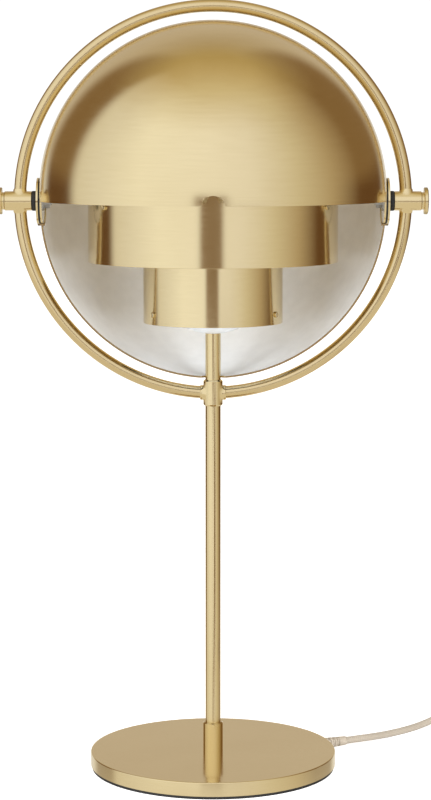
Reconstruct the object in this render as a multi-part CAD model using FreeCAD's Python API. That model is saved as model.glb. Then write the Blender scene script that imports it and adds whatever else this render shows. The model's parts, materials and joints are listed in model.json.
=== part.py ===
import FreeCAD, Part
import math
import os

V = FreeCAD.Vector
UP = V(0, 0, 1)
ALONG_X = V(1, 0, 0)
ALONG_Y = V(0, 1, 0)

# A table lamp with two quarter-sphere shades that turn in an upright ring.
# Millimetres. +Z is up, the lamp faces -Y, +X is its right as seen from the front.
# The origin is the middle of the base's underside, so z = 0 is the table.

# ---------------------------------------------------------------- base
base_radius = 80.6
pad_thickness = 1.9
pad_inset = 0.8             # the pad's edge stands back from the brass wall
cover_height = 9.1          # brass cover, from its lower edge to its top face
cover_wall = 1.5
cover_edge_round = 0.7
weight_play = 0.3           # all round the iron weight, inside the cover
weight_pocket_radius = 14.0
channel_width = 9.0         # slot in the weight for the cord's end

# ---------------------------------------------------------------- stem and T-joint
stem_radius = 5.0
stem_wall = 1.0
stem_seat_play = 0.05       # round a stem or a ring tube in its socket
collar_wall = 1.5
collar_height = 18.7
collar_chamfer = 0.8
thread_radius = 4.0         # outside of the hollow screw threads that carry the lamp
thread_bore = 2.6
thread_play = 0.05          # round a thread in its hole
nipple_rise = 2.7           # from the pad to the nipple's lower end
nipple_reach = 6.0          # how far the nipple goes up into the collar
base_washer_radius = 8.8
base_washer_thickness = 1.0
base_nut_thickness = 3.6
nut_flats = 13.0            # across the flats of the hexagon nuts on the threads
lower_stem_shown = 209.8    # from the collar's top to the T-joint
tee_wall = 1.25
tee_height = 17.0
tee_chamfer = 0.9
tee_web = 6.4               # solid height between the two stem sockets
tee_arm_wall = 0.75
tee_arm_reach = 8.4         # from the stem's axis to the end of a side socket
tee_arm_stop = 0.4          # from the stem sockets to the ring tubes' ends

# ---------------------------------------------------------------- ring and pivots
ring_stand_off = 12.6       # from the shades' sphere to the middle of the ring's tube
ring_tube_radius = 4.0
ring_tube_wall = 1.0
hub_radius = 6.2
hub_length = 17.8
hub_chamfer = 0.4
hub_braze_width = 1.05      # brazed cones round the ring's tubes, on the hub
hub_braze_height = 1.6
hub_core_wall = 0.86        # from the stud's bore to the ring tubes' ends
stud_radius = 2.5
stud_play = 0.04            # fixed pieces on the stud
running_play = 0.08         # turning pieces on the stud
washer_radius = 6.4
washer_thickness = 2.2
face_gap = 0.1              # between a turning face and a fixed one
nut_disc_radius = 8.65
nut_disc_thickness = 2.8
nut_knurl_count = 40
nut_knurl_depth = 0.4
nut_neck_radius = 5.6
nut_neck_length = 1.3
nut_edge_round = 0.5
inner_washer_radius = 6.5
inner_washer_thickness = 1.1
inner_nut_flats = 8.0
inner_nut_thickness = 4.0
stud_past_inner_nut = 1.2
thumb_nut_cap = 1.0         # metal left over the stud's blind hole
stud_end_play = 0.3

# ---------------------------------------------------------------- shades
shade_radius = 111.4        # outside of the sphere
shade_wall = 1.2
shade_offset = 3.4          # the sphere's middle stands this far out of the pivot line
edge_gap = 0.25             # from a cut edge to the plane through the pivots
notch_margin = 2.5          # round the stem, in the shades' notches
notch_drop = 1.2            # the notch's middle lies this far outside the cut edge
front_ear_radius = 14.2
ear_lap = 0.6               # the back ears are this much larger than the front ones
ear_gap = 0.15              # between the domed ears and the black disc between them
friction_disc_thickness = 1.0
ear_margin = 0.4            # round the front ear, in the back shade's pressed seat
seat_width = 1.3            # how far an ear's seat laps the shade's wall

# ---------------------------------------------------------------- cylinders and screws
large_radius = 80.4
large_wall = 1.0
large_drop = 38.9           # its lower edge is this far below the pivots
large_height = 73.0
large_screw_rise = 36.4     # above the large cylinder's lower edge
small_radius = 45.0
small_wall = 1.0
small_drop = 78.2
small_height = 58.0
small_screw_rise = 6.6      # above the small cylinder's lower edge
screw_count = 3             # in each cylinder, evenly round it
screw_turn = 2.5            # the first stands this many degrees from straight back
screw_head_radius = 1.9
screw_head_height = 1.1
screw_radius = 1.2
screw_length = 4.6
screw_slot_width = 0.5
screw_slot_depth = 0.5
screw_hole_play = 0.15
screw_tap_play = 0.03
head_lift = 0.05            # a flat head on the round wall

# ---------------------------------------------------------------- dish, spiders, lampholder, bulb
dish_drop = 85.6            # the dish's sphere reaches this far below the pivots
dish_curve = 42.0           # radius of its sphere
dish_depth = 14.3
dish_wall = 1.5
dish_to_spider = 17.6       # from the dish's lowest point to the lower spider
spacer_radius = 6.5
spider_plate = 1.2
spider_arm_width = 9.0
spider_hub_radius = 14.0
tab_play = 0.2              # between a spider's tab and the cylinder
tab_past_screw = 4.2        # from a screw's middle to the end of its tab
lock_nut_thickness = 4.0
spigot_in_holder = 4.5      # how far the stem's thread goes into the lampholder
holder_radius = 19.5
holder_wall = 2.0
holder_cap_height = 21.8
holder_shell_height = 33.0
holder_shell_radius = 19.8
holder_bore = 14.6
holder_flange_radius = 23.5
holder_flange_thickness = 2.2
holder_above_flange = 6.0
holder_insert_play = 0.2
insert_radius = 17.2
insert_thickness = 9.0
insert_sunk = 6.0           # how much of the insert stands below the shell
upper_spider_hub_radius = 27.0
shade_ring_radius = 24.5
shade_ring_height = 4.0
shade_ring_notches = 12
shade_ring_notch = 1.2
thread_sleeve_wall = 0.7
thread_sleeve_height = 21.0
bulb_cap_radius = 13.2
bulb_cap_height = 22.5
bulb_tip_height = 3.6
bulb_thread_pitch = 3.6
bulb_thread_turns = 5
bulb_thread_depth = 0.9
bulb_radius = 23.5
bulb_length = 78.0
bulb_glass_wall = 0.8
bulb_neck_radius = 12.4
contact_rise = 2.6          # the spring contact above the insert
contact_width = 4.0
contact_strip = 0.5
contact_gap = 0.2           # from the contact to the bulb's tip

# ---------------------------------------------------------------- cord
cord_radius = 2.4
exit_turn = 26.5            # where the cord leaves the base, degrees from +X to the back
exit_rise = 2.6             # from the pad to the cord's middle line
relief_length = 20.0
relief_root_radius = 3.8
relief_tip_radius = 2.9
relief_neck_radius = 3.0
relief_play = 0.1           # across the sleeve's neck
relief_flange_thickness = 2.2
relief_groove_count = 4
relief_groove_depth = 0.5
relief_wall_play = 0.1      # along the sleeve, on each side of the brass wall
lead_inner_end = 24.0       # the cord's jacket ends this far from the stem's axis
wire_radius = 0.95
wire_spacing = 2.3
wire_bend = 2.5
wire_hole_play = 0.4
wire_rise = 1.1             # from the pad to the wires' middle line
coil_pitch = 5.3            # from layer to layer and from turn to turn of the coil
coil_layers = 4
coil_layer_turns = 2
coil_middle_radius = 28.7
coil_centre = V(266.3, 60.0, 0)
tie_thickness = 0.6
tie_width = 8.0
tie_play = 0.7              # at the coil's sides
tie_slack = 0.15            # over and under the coil
tie_floor_gap = 0.05
tie_corner = 1.6

# in-line switch, lying on the table
switch_centre = V(217.26, 118.04, 0)
switch_heading = 12.0
switch_length = 62.0
switch_width = 24.0
switch_base_height = 8.0
switch_cover_height = 8.5
switch_wall = 2.0
switch_corner = 9.0
switch_edge = 2.0
switch_cord_height = 6.0
switch_collar_length = 6.0
switch_collar_root = 5.0
switch_collar_tip = 3.8
switch_post_spread = 24.0   # from the switch's middle to each screw
switch_post_radius = 3.0
switch_screw_radius = 1.05
switch_screw_reach = 9.0    # height of the screws' tips
switch_screw_head_radius = 2.3
switch_screw_head_height = 0.8
switch_screw_sunk = 0.4
rocker_length = 19.0
rocker_width = 11.0
rocker_height = 6.4
rocker_rise = 2.0           # its middle line above the cover's top
rocker_play = 0.5
rocker_pin_radius = 1.2
rocker_pin_reach = 1.4
rocker_pin_drop = 2.6       # from the cover's top to the pins
rocker_dip = 1.0            # the rocker's middle lies this much lower than its ends
rocker_tilt = 7.0

# plug, lying on the table
plug_heading = -84.0
plug_width = 35.3
plug_thickness = 13.7
plug_block = 20.0
plug_taper = 15.0
plug_neck_width = 11.0
plug_neck_thickness = 10.0
plug_relief = 20.0
plug_relief_wall = 0.6
plug_groove_count = 4
plug_corner = 3.0
pin_spacing = 18.6
pin_radius = 2.0
pin_core_radius = 1.5
pin_length = 19.0
pin_sleeve_length = 10.0
pin_sleeve_radius = 1.9
pin_sleeve_play = 0.02

# The cord's free stretches, point by point, as it lies on the table.
cord_to_switch_route = [
    (90.03, 44.89, 4.5), (103.45, 51.58, 4.5), (119.0, 67.8, 2.4), (133.6, 80.0, 2.4),
    (146.6, 94.6, 2.4), (162.0, 106.3, 6.0), (181.06, 110.35, 6.0)]
cord_from_switch_route = [
    (253.46, 125.74, 6.0), (270.09, 129.27, 6.0), (288.16, 121.96, 4.2), (299.06, 105.79, 3.2),
    (300.3, 84.6, 3.2), (300.3, 64.8, 3.2)]
cord_to_plug_route = [
    (300.3, 55.2, 19.1), (300.3, 39.0, 19.1), (299.9, 21.0, 12.6), (300.75, 3.0, 6.85),
    (302.43, -13.0, 6.85)]

# ---------------------------------------------------------------- levels worked out from the sizes
cover_top = pad_thickness + cover_height
cover_inside = cover_top - cover_wall
collar_top = cover_top + collar_height
tee_bottom = collar_top + lower_stem_shown
tee_middle = tee_bottom + tee_height / 2
tee_top = tee_bottom + tee_height
ring_radius = shade_radius + ring_stand_off
pivot_z = tee_middle + ring_radius
pivot = V(0, 0, pivot_z)

nipple_low = pad_thickness + nipple_rise
nipple_top = cover_top + nipple_reach
exit_height = pad_thickness + exit_rise
wire_height = pad_thickness + wire_rise
stem_bore = stem_radius - stem_wall
stem_socket = stem_radius + stem_seat_play
tube_socket = ring_tube_radius + stem_seat_play
thread_hole = thread_radius + thread_play
tee_radius = stem_socket + tee_wall
collar_radius = stem_socket + collar_wall
lower_stem_top = tee_middle - tee_web / 2
upper_stem_low = tee_middle + tee_web / 2

front_ear_face = shade_radius
disc_inner_face = front_ear_face + ear_gap
disc_outer_face = disc_inner_face + friction_disc_thickness
back_ear_face = disc_outer_face + ear_gap + shade_wall
washer_inner_face = back_ear_face + face_gap
hub_inner_face = washer_inner_face + washer_thickness
hub_outer_face = hub_inner_face + hub_length
nut_neck_face = hub_outer_face + face_gap
nut_disc_face = nut_neck_face + nut_neck_length
nut_outer_face = nut_disc_face + nut_disc_thickness
stud_outer_end = nut_outer_face - thumb_nut_cap - stud_end_play
inside_of_ears = math.sqrt((front_ear_face - shade_wall) ** 2 - inner_washer_radius ** 2)
inner_washer_face = inside_of_ears - face_gap
inner_nut_face = inner_washer_face - inner_washer_thickness
stud_inner_end = inner_nut_face - inner_nut_thickness - stud_past_inner_nut
stud_hole = stud_radius + stud_play
turning_hole = stud_radius + running_play

back_ear_radius = front_ear_radius + ear_lap
seat_hole = front_ear_radius + ear_margin
seat_edge = seat_hole + seat_width
notch_radius = stem_radius + notch_margin

large_bottom = pivot_z - large_drop
large_screw_z = large_bottom + large_screw_rise
small_bottom = pivot_z - small_drop
small_screw_z = small_bottom + small_screw_rise
dish_bottom = pivot_z - dish_drop
dish_middle = V(0, 0, dish_bottom + dish_curve)
dish_seat = dish_middle.z - math.sqrt(dish_curve ** 2 - stem_radius ** 2)
dish_floor = dish_middle.z - math.sqrt((dish_curve - dish_wall) ** 2 - spacer_radius ** 2)
lower_spider_z = dish_bottom + dish_to_spider
lock_nut_z = lower_spider_z + spider_plate
holder_bottom = lock_nut_z + lock_nut_thickness
holder_shell_z = holder_bottom + holder_cap_height
holder_top = holder_shell_z + holder_shell_height
flange_top = holder_top - holder_above_flange
holder_seat = holder_shell_radius + thread_play
insert_z = holder_shell_z - insert_sunk
insert_top = insert_z + insert_thickness
bulb_tip_z = insert_top + contact_rise + contact_gap
bulb_centre_z = bulb_tip_z + bulb_length - bulb_radius
bulb_cap_top = bulb_tip_z + bulb_tip_height + bulb_cap_height

coil_turns = coil_layers * coil_layer_turns
coil_outer_radius = coil_middle_radius + coil_layer_turns * coil_pitch / 2
coil_first_z = tie_floor_gap + tie_thickness + tie_slack + cord_radius
coil_last_z = coil_first_z + (coil_layers - 1) * coil_pitch
switch_top = switch_base_height + switch_cover_height
rocker_axis_z = switch_top - rocker_pin_drop
plug_axis_z = plug_thickness / 2
plug_face = plug_relief + plug_taper + plug_block

FAR = 400.0     # larger than the lamp, for cutting tools
PAST = 1.0      # how far a cutting tool runs past a face


# ---------------------------------------------------------------- small tools
def disc(radius, low, high):
    """A round block on the lamp's axis."""
    return Part.makeCylinder(radius, high - low, V(0, 0, low))


def tube(outer, inner, low, high):
    return disc(outer, low, high).cut(disc(inner, low - PAST, high + PAST))


def face_of(corners):
    return Part.Face(Part.makePolygon(corners + corners[:1]))


def turned(outline):
    """A piece turned about the lamp's axis, from (radius, height) points."""
    return face_of([V(r, 0, z) for r, z in outline]).revolve(V(0, 0, 0), UP, 360)


def turned_on_pivot(outline):
    """A piece turned about the pivots' line, on the right, from (distance, radius) points."""
    return face_of([V(x, 0, pivot_z + r) for x, r in outline]).revolve(pivot, ALONG_X, 360)


def rod_on_pivot(radius, start, end):
    return Part.makeCylinder(radius, end - start, V(start, 0, pivot_z), ALONG_X)


def left_of(shape):
    """The left pivot's copy of a right pivot's piece."""
    return shape.mirror(V(0, 0, 0), ALONG_X)


def both_sides(shape):
    return Part.makeCompound([shape, left_of(shape)])


def block(x0, x1, y0, y1, z0, z1):
    return Part.makeBox(x1 - x0, y1 - y0, z1 - z0, V(x0, y0, z0))


def turn_about_axis(shape, degrees):
    copy = shape.copy()
    copy.rotate(V(0, 0, 0), UP, degrees)
    return copy


def screw_directions():
    """Where the screws of a cylinder stand, as turns about the axis from +X."""
    return [90.0 + screw_turn + 360.0 * k / screw_count for k in range(screw_count)]


def hexagon(flats, low, high):
    """A hexagon nut's blank on the lamp's axis."""
    corner = flats / math.sqrt(3)
    turns = [math.radians(60 * k) for k in range(6)]
    corners = [V(corner * math.cos(turn), corner * math.sin(turn), low) for turn in turns]
    return face_of(corners).extrude(V(0, 0, high - low))


def lay(shape, heading, spot):
    """Put a piece that was made along +X in its place on the table."""
    copy = shape.copy()
    copy.rotate(V(0, 0, 0), UP, heading)
    copy.translate(spot)
    return copy


# ---------------------------------------------------------------- base
def base_disc():
    """Spun brass cover, open below, with a notch in its wall for the cord's sleeve."""
    soft = cover_edge_round
    outline = [(thread_hole, cover_top), (thread_hole, cover_inside),
               (base_radius - cover_wall, cover_inside), (base_radius - cover_wall, pad_thickness),
               (base_radius, pad_thickness), (base_radius, cover_top - soft),
               (base_radius - 0.3 * soft, cover_top - 0.3 * soft), (base_radius - soft, cover_top)]
    half = relief_neck_radius + relief_play
    inside = base_radius - 3 * cover_wall
    outside = base_radius + PAST
    notch = Part.makeCylinder(half, outside - inside, V(inside, 0, exit_height), ALONG_X)
    notch = notch.fuse(block(inside, outside, -half, half, 0, exit_height))
    return turned(outline).cut(turn_about_axis(notch, exit_turn))


def base_weight():
    """Cast-iron disc in the cover, with a pocket for the nut and a channel for the cord."""
    radius = base_radius - cover_wall - weight_play
    low = pad_thickness + weight_play
    high = cover_inside - weight_play
    half = channel_width / 2
    channel = block(0, base_radius, -half, half, low - PAST, high + PAST)
    return tube(radius, weight_pocket_radius, low, high).cut(turn_about_axis(channel, exit_turn))


def base_pad():
    """Soft pad under the base, notched where the cord's sleeve sits."""
    notch_start = base_radius - cover_wall - relief_flange_thickness - PAST
    half = channel_width / 2
    notch = block(notch_start, base_radius, -half, half, -PAST, pad_thickness + PAST)
    return disc(base_radius - pad_inset, 0, pad_thickness).cut(turn_about_axis(notch, exit_turn))


def base_collar():
    """Turned brass socket on the base: the stem sits in its top, the nipple in its foot."""
    outline = [(thread_hole, cover_top), (collar_radius, cover_top),
               (collar_radius, collar_top - collar_chamfer), (collar_radius - collar_chamfer, collar_top),
               (stem_socket, collar_top), (stem_socket, nipple_top), (thread_hole, nipple_top)]
    return turned(outline)


def base_nipple():
    return tube(thread_radius, thread_bore, nipple_low, nipple_top)


def base_washer():
    return tube(base_washer_radius, thread_hole, cover_inside - base_washer_thickness, cover_inside)


def base_nut():
    top = cover_inside - base_washer_thickness
    low = top - base_nut_thickness
    return hexagon(nut_flats, low, top).cut(disc(thread_hole, low - PAST, top + PAST))


# ---------------------------------------------------------------- stem, T-joint and ring
def lower_stem():
    return tube(stem_radius, stem_bore, nipple_top, lower_stem_top)


def upper_stem():
    """The stem above the T-joint, turned down to a thread that carries all the fittings."""
    top = holder_bottom + spigot_in_holder
    bore_end = dish_seat - thread_radius
    outline = [(stem_bore, upper_stem_low), (stem_radius, upper_stem_low), (stem_radius, dish_seat),
               (thread_radius, dish_seat), (thread_radius, top), (thread_bore, top),
               (thread_bore, bore_end), (stem_bore, bore_end)]
    return turned(outline)


def ring_arc(radius, start, end):
    """A round bar along the ring, between two angles: 0 is the right pivot, 90 the top."""
    turn = math.radians(start)
    middle = pivot + V(ring_radius * math.cos(turn), 0, ring_radius * math.sin(turn))
    along = V(-math.sin(turn), 0, math.cos(turn))
    face = Part.Face(Part.Wire(Part.makeCircle(radius, middle, along)))
    return face.revolve(pivot, V(0, -1, 0), end - start)


def ring_tube(start, end):
    bore = ring_arc(ring_tube_radius - ring_tube_wall, start - PAST, end + PAST)
    return ring_arc(ring_tube_radius, start, end).cut(bore)


hub_end_turn = math.degrees(math.asin((stud_hole + hub_core_wall) / ring_radius))
tee_end_turn = math.degrees(math.asin((stem_socket + tee_arm_stop) / ring_radius))
socket_turn = 8.0           # long enough for a socket's cutting tool to leave its boss


def upper_ring_arc():
    """The ring from hub to hub, over the top."""
    return ring_tube(hub_end_turn, 180 - hub_end_turn)


def right_ring_arc():
    """The ring from the T-joint up to the right hub."""
    return ring_tube(-90 + tee_end_turn, -hub_end_turn)


def tee_joint():
    """Turned brass T-joint: stem sockets above and below, a ring socket on each side."""
    soft = tee_chamfer
    body = turned([(0, tee_bottom), (tee_radius - soft, tee_bottom), (tee_radius, tee_bottom + soft),
                   (tee_radius, tee_top - soft), (tee_radius - soft, tee_top), (0, tee_top)])
    arms = Part.makeCylinder(tube_socket + tee_arm_wall, 2 * tee_arm_reach,
                             V(-tee_arm_reach, 0, tee_middle), ALONG_X)
    body = body.fuse(arms).cut(disc(stem_socket, tee_bottom - PAST, lower_stem_top))
    body = body.cut(disc(stem_socket, upper_stem_low, tee_top + PAST))
    body = body.cut(disc(stem_bore, tee_bottom, tee_top))
    right_socket = ring_arc(tube_socket, -90 + tee_end_turn, -90 + socket_turn)
    return body.cut([right_socket, left_of(right_socket)])


# ---------------------------------------------------------------- pivots, right side
def right_hub():
    """Brass hub on the ring, with small brazed cones where the ring's tubes enter."""
    soft = hub_chamfer
    body = turned_on_pivot([(hub_inner_face, 0), (hub_inner_face, hub_radius - soft),
                            (hub_inner_face + soft, hub_radius), (hub_outer_face - soft, hub_radius),
                            (hub_outer_face, hub_radius - soft), (hub_outer_face, 0)])
    sunk = hub_radius - math.sqrt(hub_radius ** 2 - (tube_socket + hub_braze_width) ** 2)
    for way in (1, -1):
        foot = V(ring_radius, 0, pivot_z + way * (hub_radius - sunk))
        body = body.fuse(Part.makeCone(tube_socket + hub_braze_width, tube_socket + 0.1,
                                       sunk + hub_braze_height, foot, V(0, 0, way)))
    upper_socket = ring_arc(tube_socket, hub_end_turn, socket_turn)
    lower_socket = ring_arc(tube_socket, -socket_turn, -hub_end_turn)
    return body.cut([upper_socket, lower_socket, rod_on_pivot(stud_hole, hub_inner_face - PAST, FAR)])


def washer_on_pivot(radius, start, end):
    return rod_on_pivot(radius, start, end).cut(rod_on_pivot(stud_hole, start - PAST, end + PAST))


def right_friction_washer():
    """Black washer between the hub and the back shade's ear."""
    return washer_on_pivot(washer_radius, washer_inner_face, hub_inner_face)


def domed_plate(outer, inner, radius, hole):
    """A round plate, domed about the middle of the pivots' line, on the right."""
    shell = Part.makeSphere(outer, pivot).cut(Part.makeSphere(inner, pivot))
    return shell.common(rod_on_pivot(radius, inner / 2, FAR)).cut(rod_on_pivot(hole, PAST, FAR))


def right_friction_disc():
    """Black domed disc between the two shades' ears."""
    return domed_plate(disc_outer_face, disc_inner_face, front_ear_radius, stud_hole)


def studs():
    """The two threaded studs that the shades turn on."""
    return both_sides(rod_on_pivot(stud_radius, stud_inner_end, stud_outer_end))


def inner_washers():
    return both_sides(washer_on_pivot(inner_washer_radius, inner_nut_face, inner_washer_face))


def inner_nuts():
    """Hexagon nuts on the studs, inside the shades."""
    nut = hexagon(inner_nut_flats, 0, inner_nut_thickness)
    nut.rotate(V(0, 0, 0), ALONG_Y, 90)
    nut.translate(V(inner_nut_face - inner_nut_thickness, 0, pivot_z))
    return both_sides(nut.cut(rod_on_pivot(stud_hole, PAST, FAR)))


def right_thumb_nut():
    """Knurled brass nut, turned by hand to hold the shades."""
    corners = []
    for k in range(2 * nut_knurl_count):
        radius = nut_disc_radius - nut_knurl_depth * (k % 2)
        turn = math.pi * k / nut_knurl_count
        corners.append(V(nut_disc_face, radius * math.cos(turn), pivot_z + radius * math.sin(turn)))
    knurled = face_of(corners).extrude(V(nut_disc_thickness, 0, 0))
    soft = nut_edge_round
    rim = turned_on_pivot([(nut_disc_face, 0), (nut_disc_face, nut_disc_radius - soft),
                           (nut_disc_face + soft, nut_disc_radius), (nut_outer_face - soft, nut_disc_radius),
                           (nut_outer_face, nut_disc_radius - 2 * soft), (nut_outer_face, 0)])
    neck = rod_on_pivot(nut_neck_radius, nut_neck_face, nut_disc_face)
    hole = rod_on_pivot(turning_hole, nut_neck_face - PAST, nut_outer_face - thumb_nut_cap)
    return knurled.common(rim).fuse(neck).cut(hole)


# ---------------------------------------------------------------- shades
def front_quarter():
    """Everything in front of and above the pivots' line, clear of the cut planes."""
    return block(-FAR, FAR, -FAR, -edge_gap, pivot_z + edge_gap, pivot_z + FAR)


def back_quarter():
    """Everything behind and below the pivots' line, clear of the cut planes."""
    return block(-FAR, FAR, edge_gap, FAR, pivot_z - FAR, pivot_z - edge_gap)


def quarter_sphere(middle, quarter):
    """A quarter of the shades' shell, with round holes for the ears."""
    shell = Part.makeSphere(shade_radius, middle).cut(Part.makeSphere(shade_radius - shade_wall, middle))
    return shell.common(quarter).cut(rod_on_pivot(seat_hole, -FAR, FAR))


def ear(face, radius, quarter):
    """A whole round ear, wider inside the quarter, where it laps the shell."""
    inside = face - shade_wall
    seat = domed_plate(face, inside, seat_edge, turning_hole).common(quarter)
    return domed_plate(face, inside, radius, turning_hole).fuse(seat)


def front_shade():
    """Quarter sphere over the top front. Its ears lie inside the back shade's."""
    quarter = front_quarter()
    shell = quarter_sphere(pivot + V(0, -shade_offset, shade_offset), quarter)
    lug = ear(front_ear_face, front_ear_radius, quarter)
    rim = V(0, -PAST, pivot_z + edge_gap - notch_drop)
    notch = Part.makeCylinder(notch_radius, FAR, rim, V(0, -1, 0))
    return shell.fuse([lug, left_of(lug)]).cut(notch)


def back_shade():
    """Quarter sphere under the back. Its ears are pressed out over the front shade's."""
    quarter = back_quarter()
    middle = pivot + V(0, shade_offset, -shade_offset)
    shell = quarter_sphere(middle, quarter)
    lug = ear(back_ear_face, back_ear_radius, quarter)
    step = rod_on_pivot(seat_edge, PAST, FAR).cut(rod_on_pivot(seat_hole, 0, FAR + PAST))
    step = step.common(quarter).common(Part.makeSphere(back_ear_face, pivot))
    step = step.cut(Part.makeSphere(shade_radius - shade_wall, middle))
    lug = lug.fuse(step)
    rim = V(0, edge_gap - notch_drop, pivot_z - PAST)
    notch = Part.makeCylinder(notch_radius, FAR, rim, V(0, 0, -1))
    return shell.fuse([lug, left_of(lug)]).cut(notch)


# ---------------------------------------------------------------- cylinders, spiders and screws
def screw_bores(radius, wall_radius, height):
    """Radial holes for the screws, through whatever stands near a cylinder's wall."""
    bore = Part.makeCylinder(radius, 2 * screw_length, V(wall_radius - screw_length, 0, height), ALONG_X)
    return [turn_about_axis(bore, turn) for turn in screw_directions()]


def cylinder(radius, wall, low, height, screw_z):
    shell = tube(radius, radius - wall, low, low + height)
    return shell.cut(screw_bores(screw_radius + screw_hole_play, radius, screw_z))


def large_cylinder():
    return cylinder(large_radius, large_wall, large_bottom, large_height, large_screw_z)


def small_cylinder():
    return cylinder(small_radius, small_wall, small_bottom, small_height, small_screw_z)


def screws(wall_radius, height):
    """A cylinder's screws: small slotted cheese heads, set radially."""
    foot = wall_radius + head_lift
    top = foot + screw_head_height
    half = screw_slot_width / 2
    head = Part.makeCylinder(screw_head_radius, screw_head_height, V(foot, 0, height), ALONG_X)
    slot = block(top - screw_slot_depth, top + PAST, -half, half,
                 height - screw_head_radius - PAST, height + screw_head_radius + PAST)
    shank = Part.makeCylinder(screw_radius, screw_length, V(foot - screw_length, 0, height), ALONG_X)
    screw = head.cut(slot).fuse(shank)
    return Part.makeCompound([turn_about_axis(screw, turn) for turn in screw_directions()])


def spider(ring_radius_, hole, plate_z, reach, tab_low, tab_high, screw_z):
    """A pressed plate: a ring, and arms with bent tabs that take the screws."""
    plate_top = plate_z + spider_plate
    half = spider_arm_width / 2
    arm = block(0, reach, -half, half, plate_z, plate_top)
    tab = block(reach - spider_plate, reach, -half, half, tab_low, tab_high)
    arm = arm.fuse(tab).common(disc(reach, tab_low - PAST, tab_high + PAST))
    arms = [turn_about_axis(arm, turn) for turn in screw_directions()]
    plate = disc(ring_radius_, plate_z, plate_top).fuse(arms)
    bores = screw_bores(screw_radius + screw_tap_play, reach, screw_z)
    return plate.cut([disc(hole, plate_z - PAST, plate_top + PAST)] + bores).removeSplitter()


def lower_spider():
    """Carries the small cylinder. Its tabs point down."""
    reach = small_radius - small_wall - tab_play
    return spider(spider_hub_radius, thread_hole, lower_spider_z, reach,
                  small_screw_z - tab_past_screw, lock_nut_z, small_screw_z)


def upper_spider():
    """Carries the large cylinder. Its ring sits on the lampholder's flange, its tabs point up."""
    reach = large_radius - large_wall - tab_play
    return spider(upper_spider_hub_radius, holder_seat, flange_top, reach,
                  flange_top, large_screw_z + tab_past_screw, large_screw_z)


# ---------------------------------------------------------------- dish and fittings on the thread
def diffuser_dish():
    """White dish, part of a sphere, that closes the small cylinder from below."""
    outside = Part.makeSphere(dish_curve, dish_middle)
    bowl = outside.cut(Part.makeSphere(dish_curve - dish_wall, dish_middle))
    bowl = bowl.common(disc(dish_curve, dish_seat, dish_bottom + dish_depth))
    floor = disc(spacer_radius, dish_seat, dish_floor).common(outside)
    return bowl.fuse(floor).cut(disc(thread_hole, dish_seat - PAST, dish_floor + PAST))


def dish_spacer():
    return tube(spacer_radius, thread_hole, dish_floor, lower_spider_z)


def lock_nut():
    return hexagon(nut_flats, lock_nut_z, holder_bottom).cut(disc(thread_hole, lock_nut_z - PAST, FAR))


def lampholder_cap():
    """Lower half of the lampholder, screwed on the thread."""
    boss = thread_hole + holder_wall
    inner = holder_radius - holder_wall
    seat = holder_bottom + spigot_in_holder
    shoulder = seat + 2 * holder_wall
    outline = [(thread_hole, holder_bottom), (boss + holder_wall, holder_bottom),
               (boss + holder_wall, seat - holder_wall), (holder_radius - holder_wall, seat),
               (holder_radius, shoulder), (holder_radius, holder_shell_z), (inner, holder_shell_z),
               (inner, shoulder), (inner - holder_wall, seat + holder_wall), (boss, seat + holder_wall),
               (boss, seat), (thread_hole, seat)]
    return turned(outline)


def lampholder_shell():
    """Upper half of the lampholder, with a flange that carries the upper spider."""
    recess = insert_radius + holder_insert_play
    flange_low = flange_top - holder_flange_thickness
    outline = [(recess, holder_shell_z), (holder_shell_radius, holder_shell_z),
               (holder_shell_radius, flange_low), (holder_flange_radius, flange_low),
               (holder_flange_radius, flange_top), (holder_shell_radius, flange_top),
               (holder_shell_radius, holder_top), (holder_bore, holder_top),
               (holder_bore, insert_top), (recess, insert_top)]
    return turned(outline)


def lampholder_insert():
    """Ceramic disc that carries the contacts, with two holes for the wires."""
    reach = insert_radius / 2
    holes = [Part.makeCylinder(wire_radius + wire_hole_play, insert_thickness + 2 * PAST,
                               V(x, 0, insert_z - PAST)) for x in (-reach, reach)]
    return disc(insert_radius, insert_z, insert_top).cut(holes)


def centre_contact():
    """Bent brass strip that touches the bulb's tip."""
    half = contact_width / 2
    top = insert_top + contact_rise
    outline = [(-half, insert_top), (contact_width, insert_top), (contact_width, insert_top + contact_strip),
               (contact_strip, insert_top + contact_strip), (half, top), (-contact_strip, top),
               (-contact_strip, top - contact_strip), (half - 2 * contact_strip, top - contact_strip),
               (-half, insert_top + contact_strip)]
    strip = face_of([V(x, -half, z) for x, z in outline]).extrude(V(0, contact_width, 0))
    return strip


def thread_sleeve():
    """Metal sleeve in the lampholder that the bulb's cap screws into."""
    outer = holder_bore - thread_play
    return tube(outer, outer - thread_sleeve_wall, insert_top, insert_top + thread_sleeve_height)


def shade_ring():
    """Ring nut that clamps the upper spider on the lampholder's flange."""
    low = flange_top + spider_plate
    ring = tube(shade_ring_radius, holder_seat, low, low + shade_ring_height)
    foot = V(shade_ring_radius, 0, low - PAST)
    notch = Part.makeCylinder(shade_ring_notch, shade_ring_height + 2 * PAST, foot)
    steps = [360.0 * k / shade_ring_notches for k in range(shade_ring_notches)]
    return ring.cut([turn_about_axis(notch, step) for step in steps])


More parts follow.
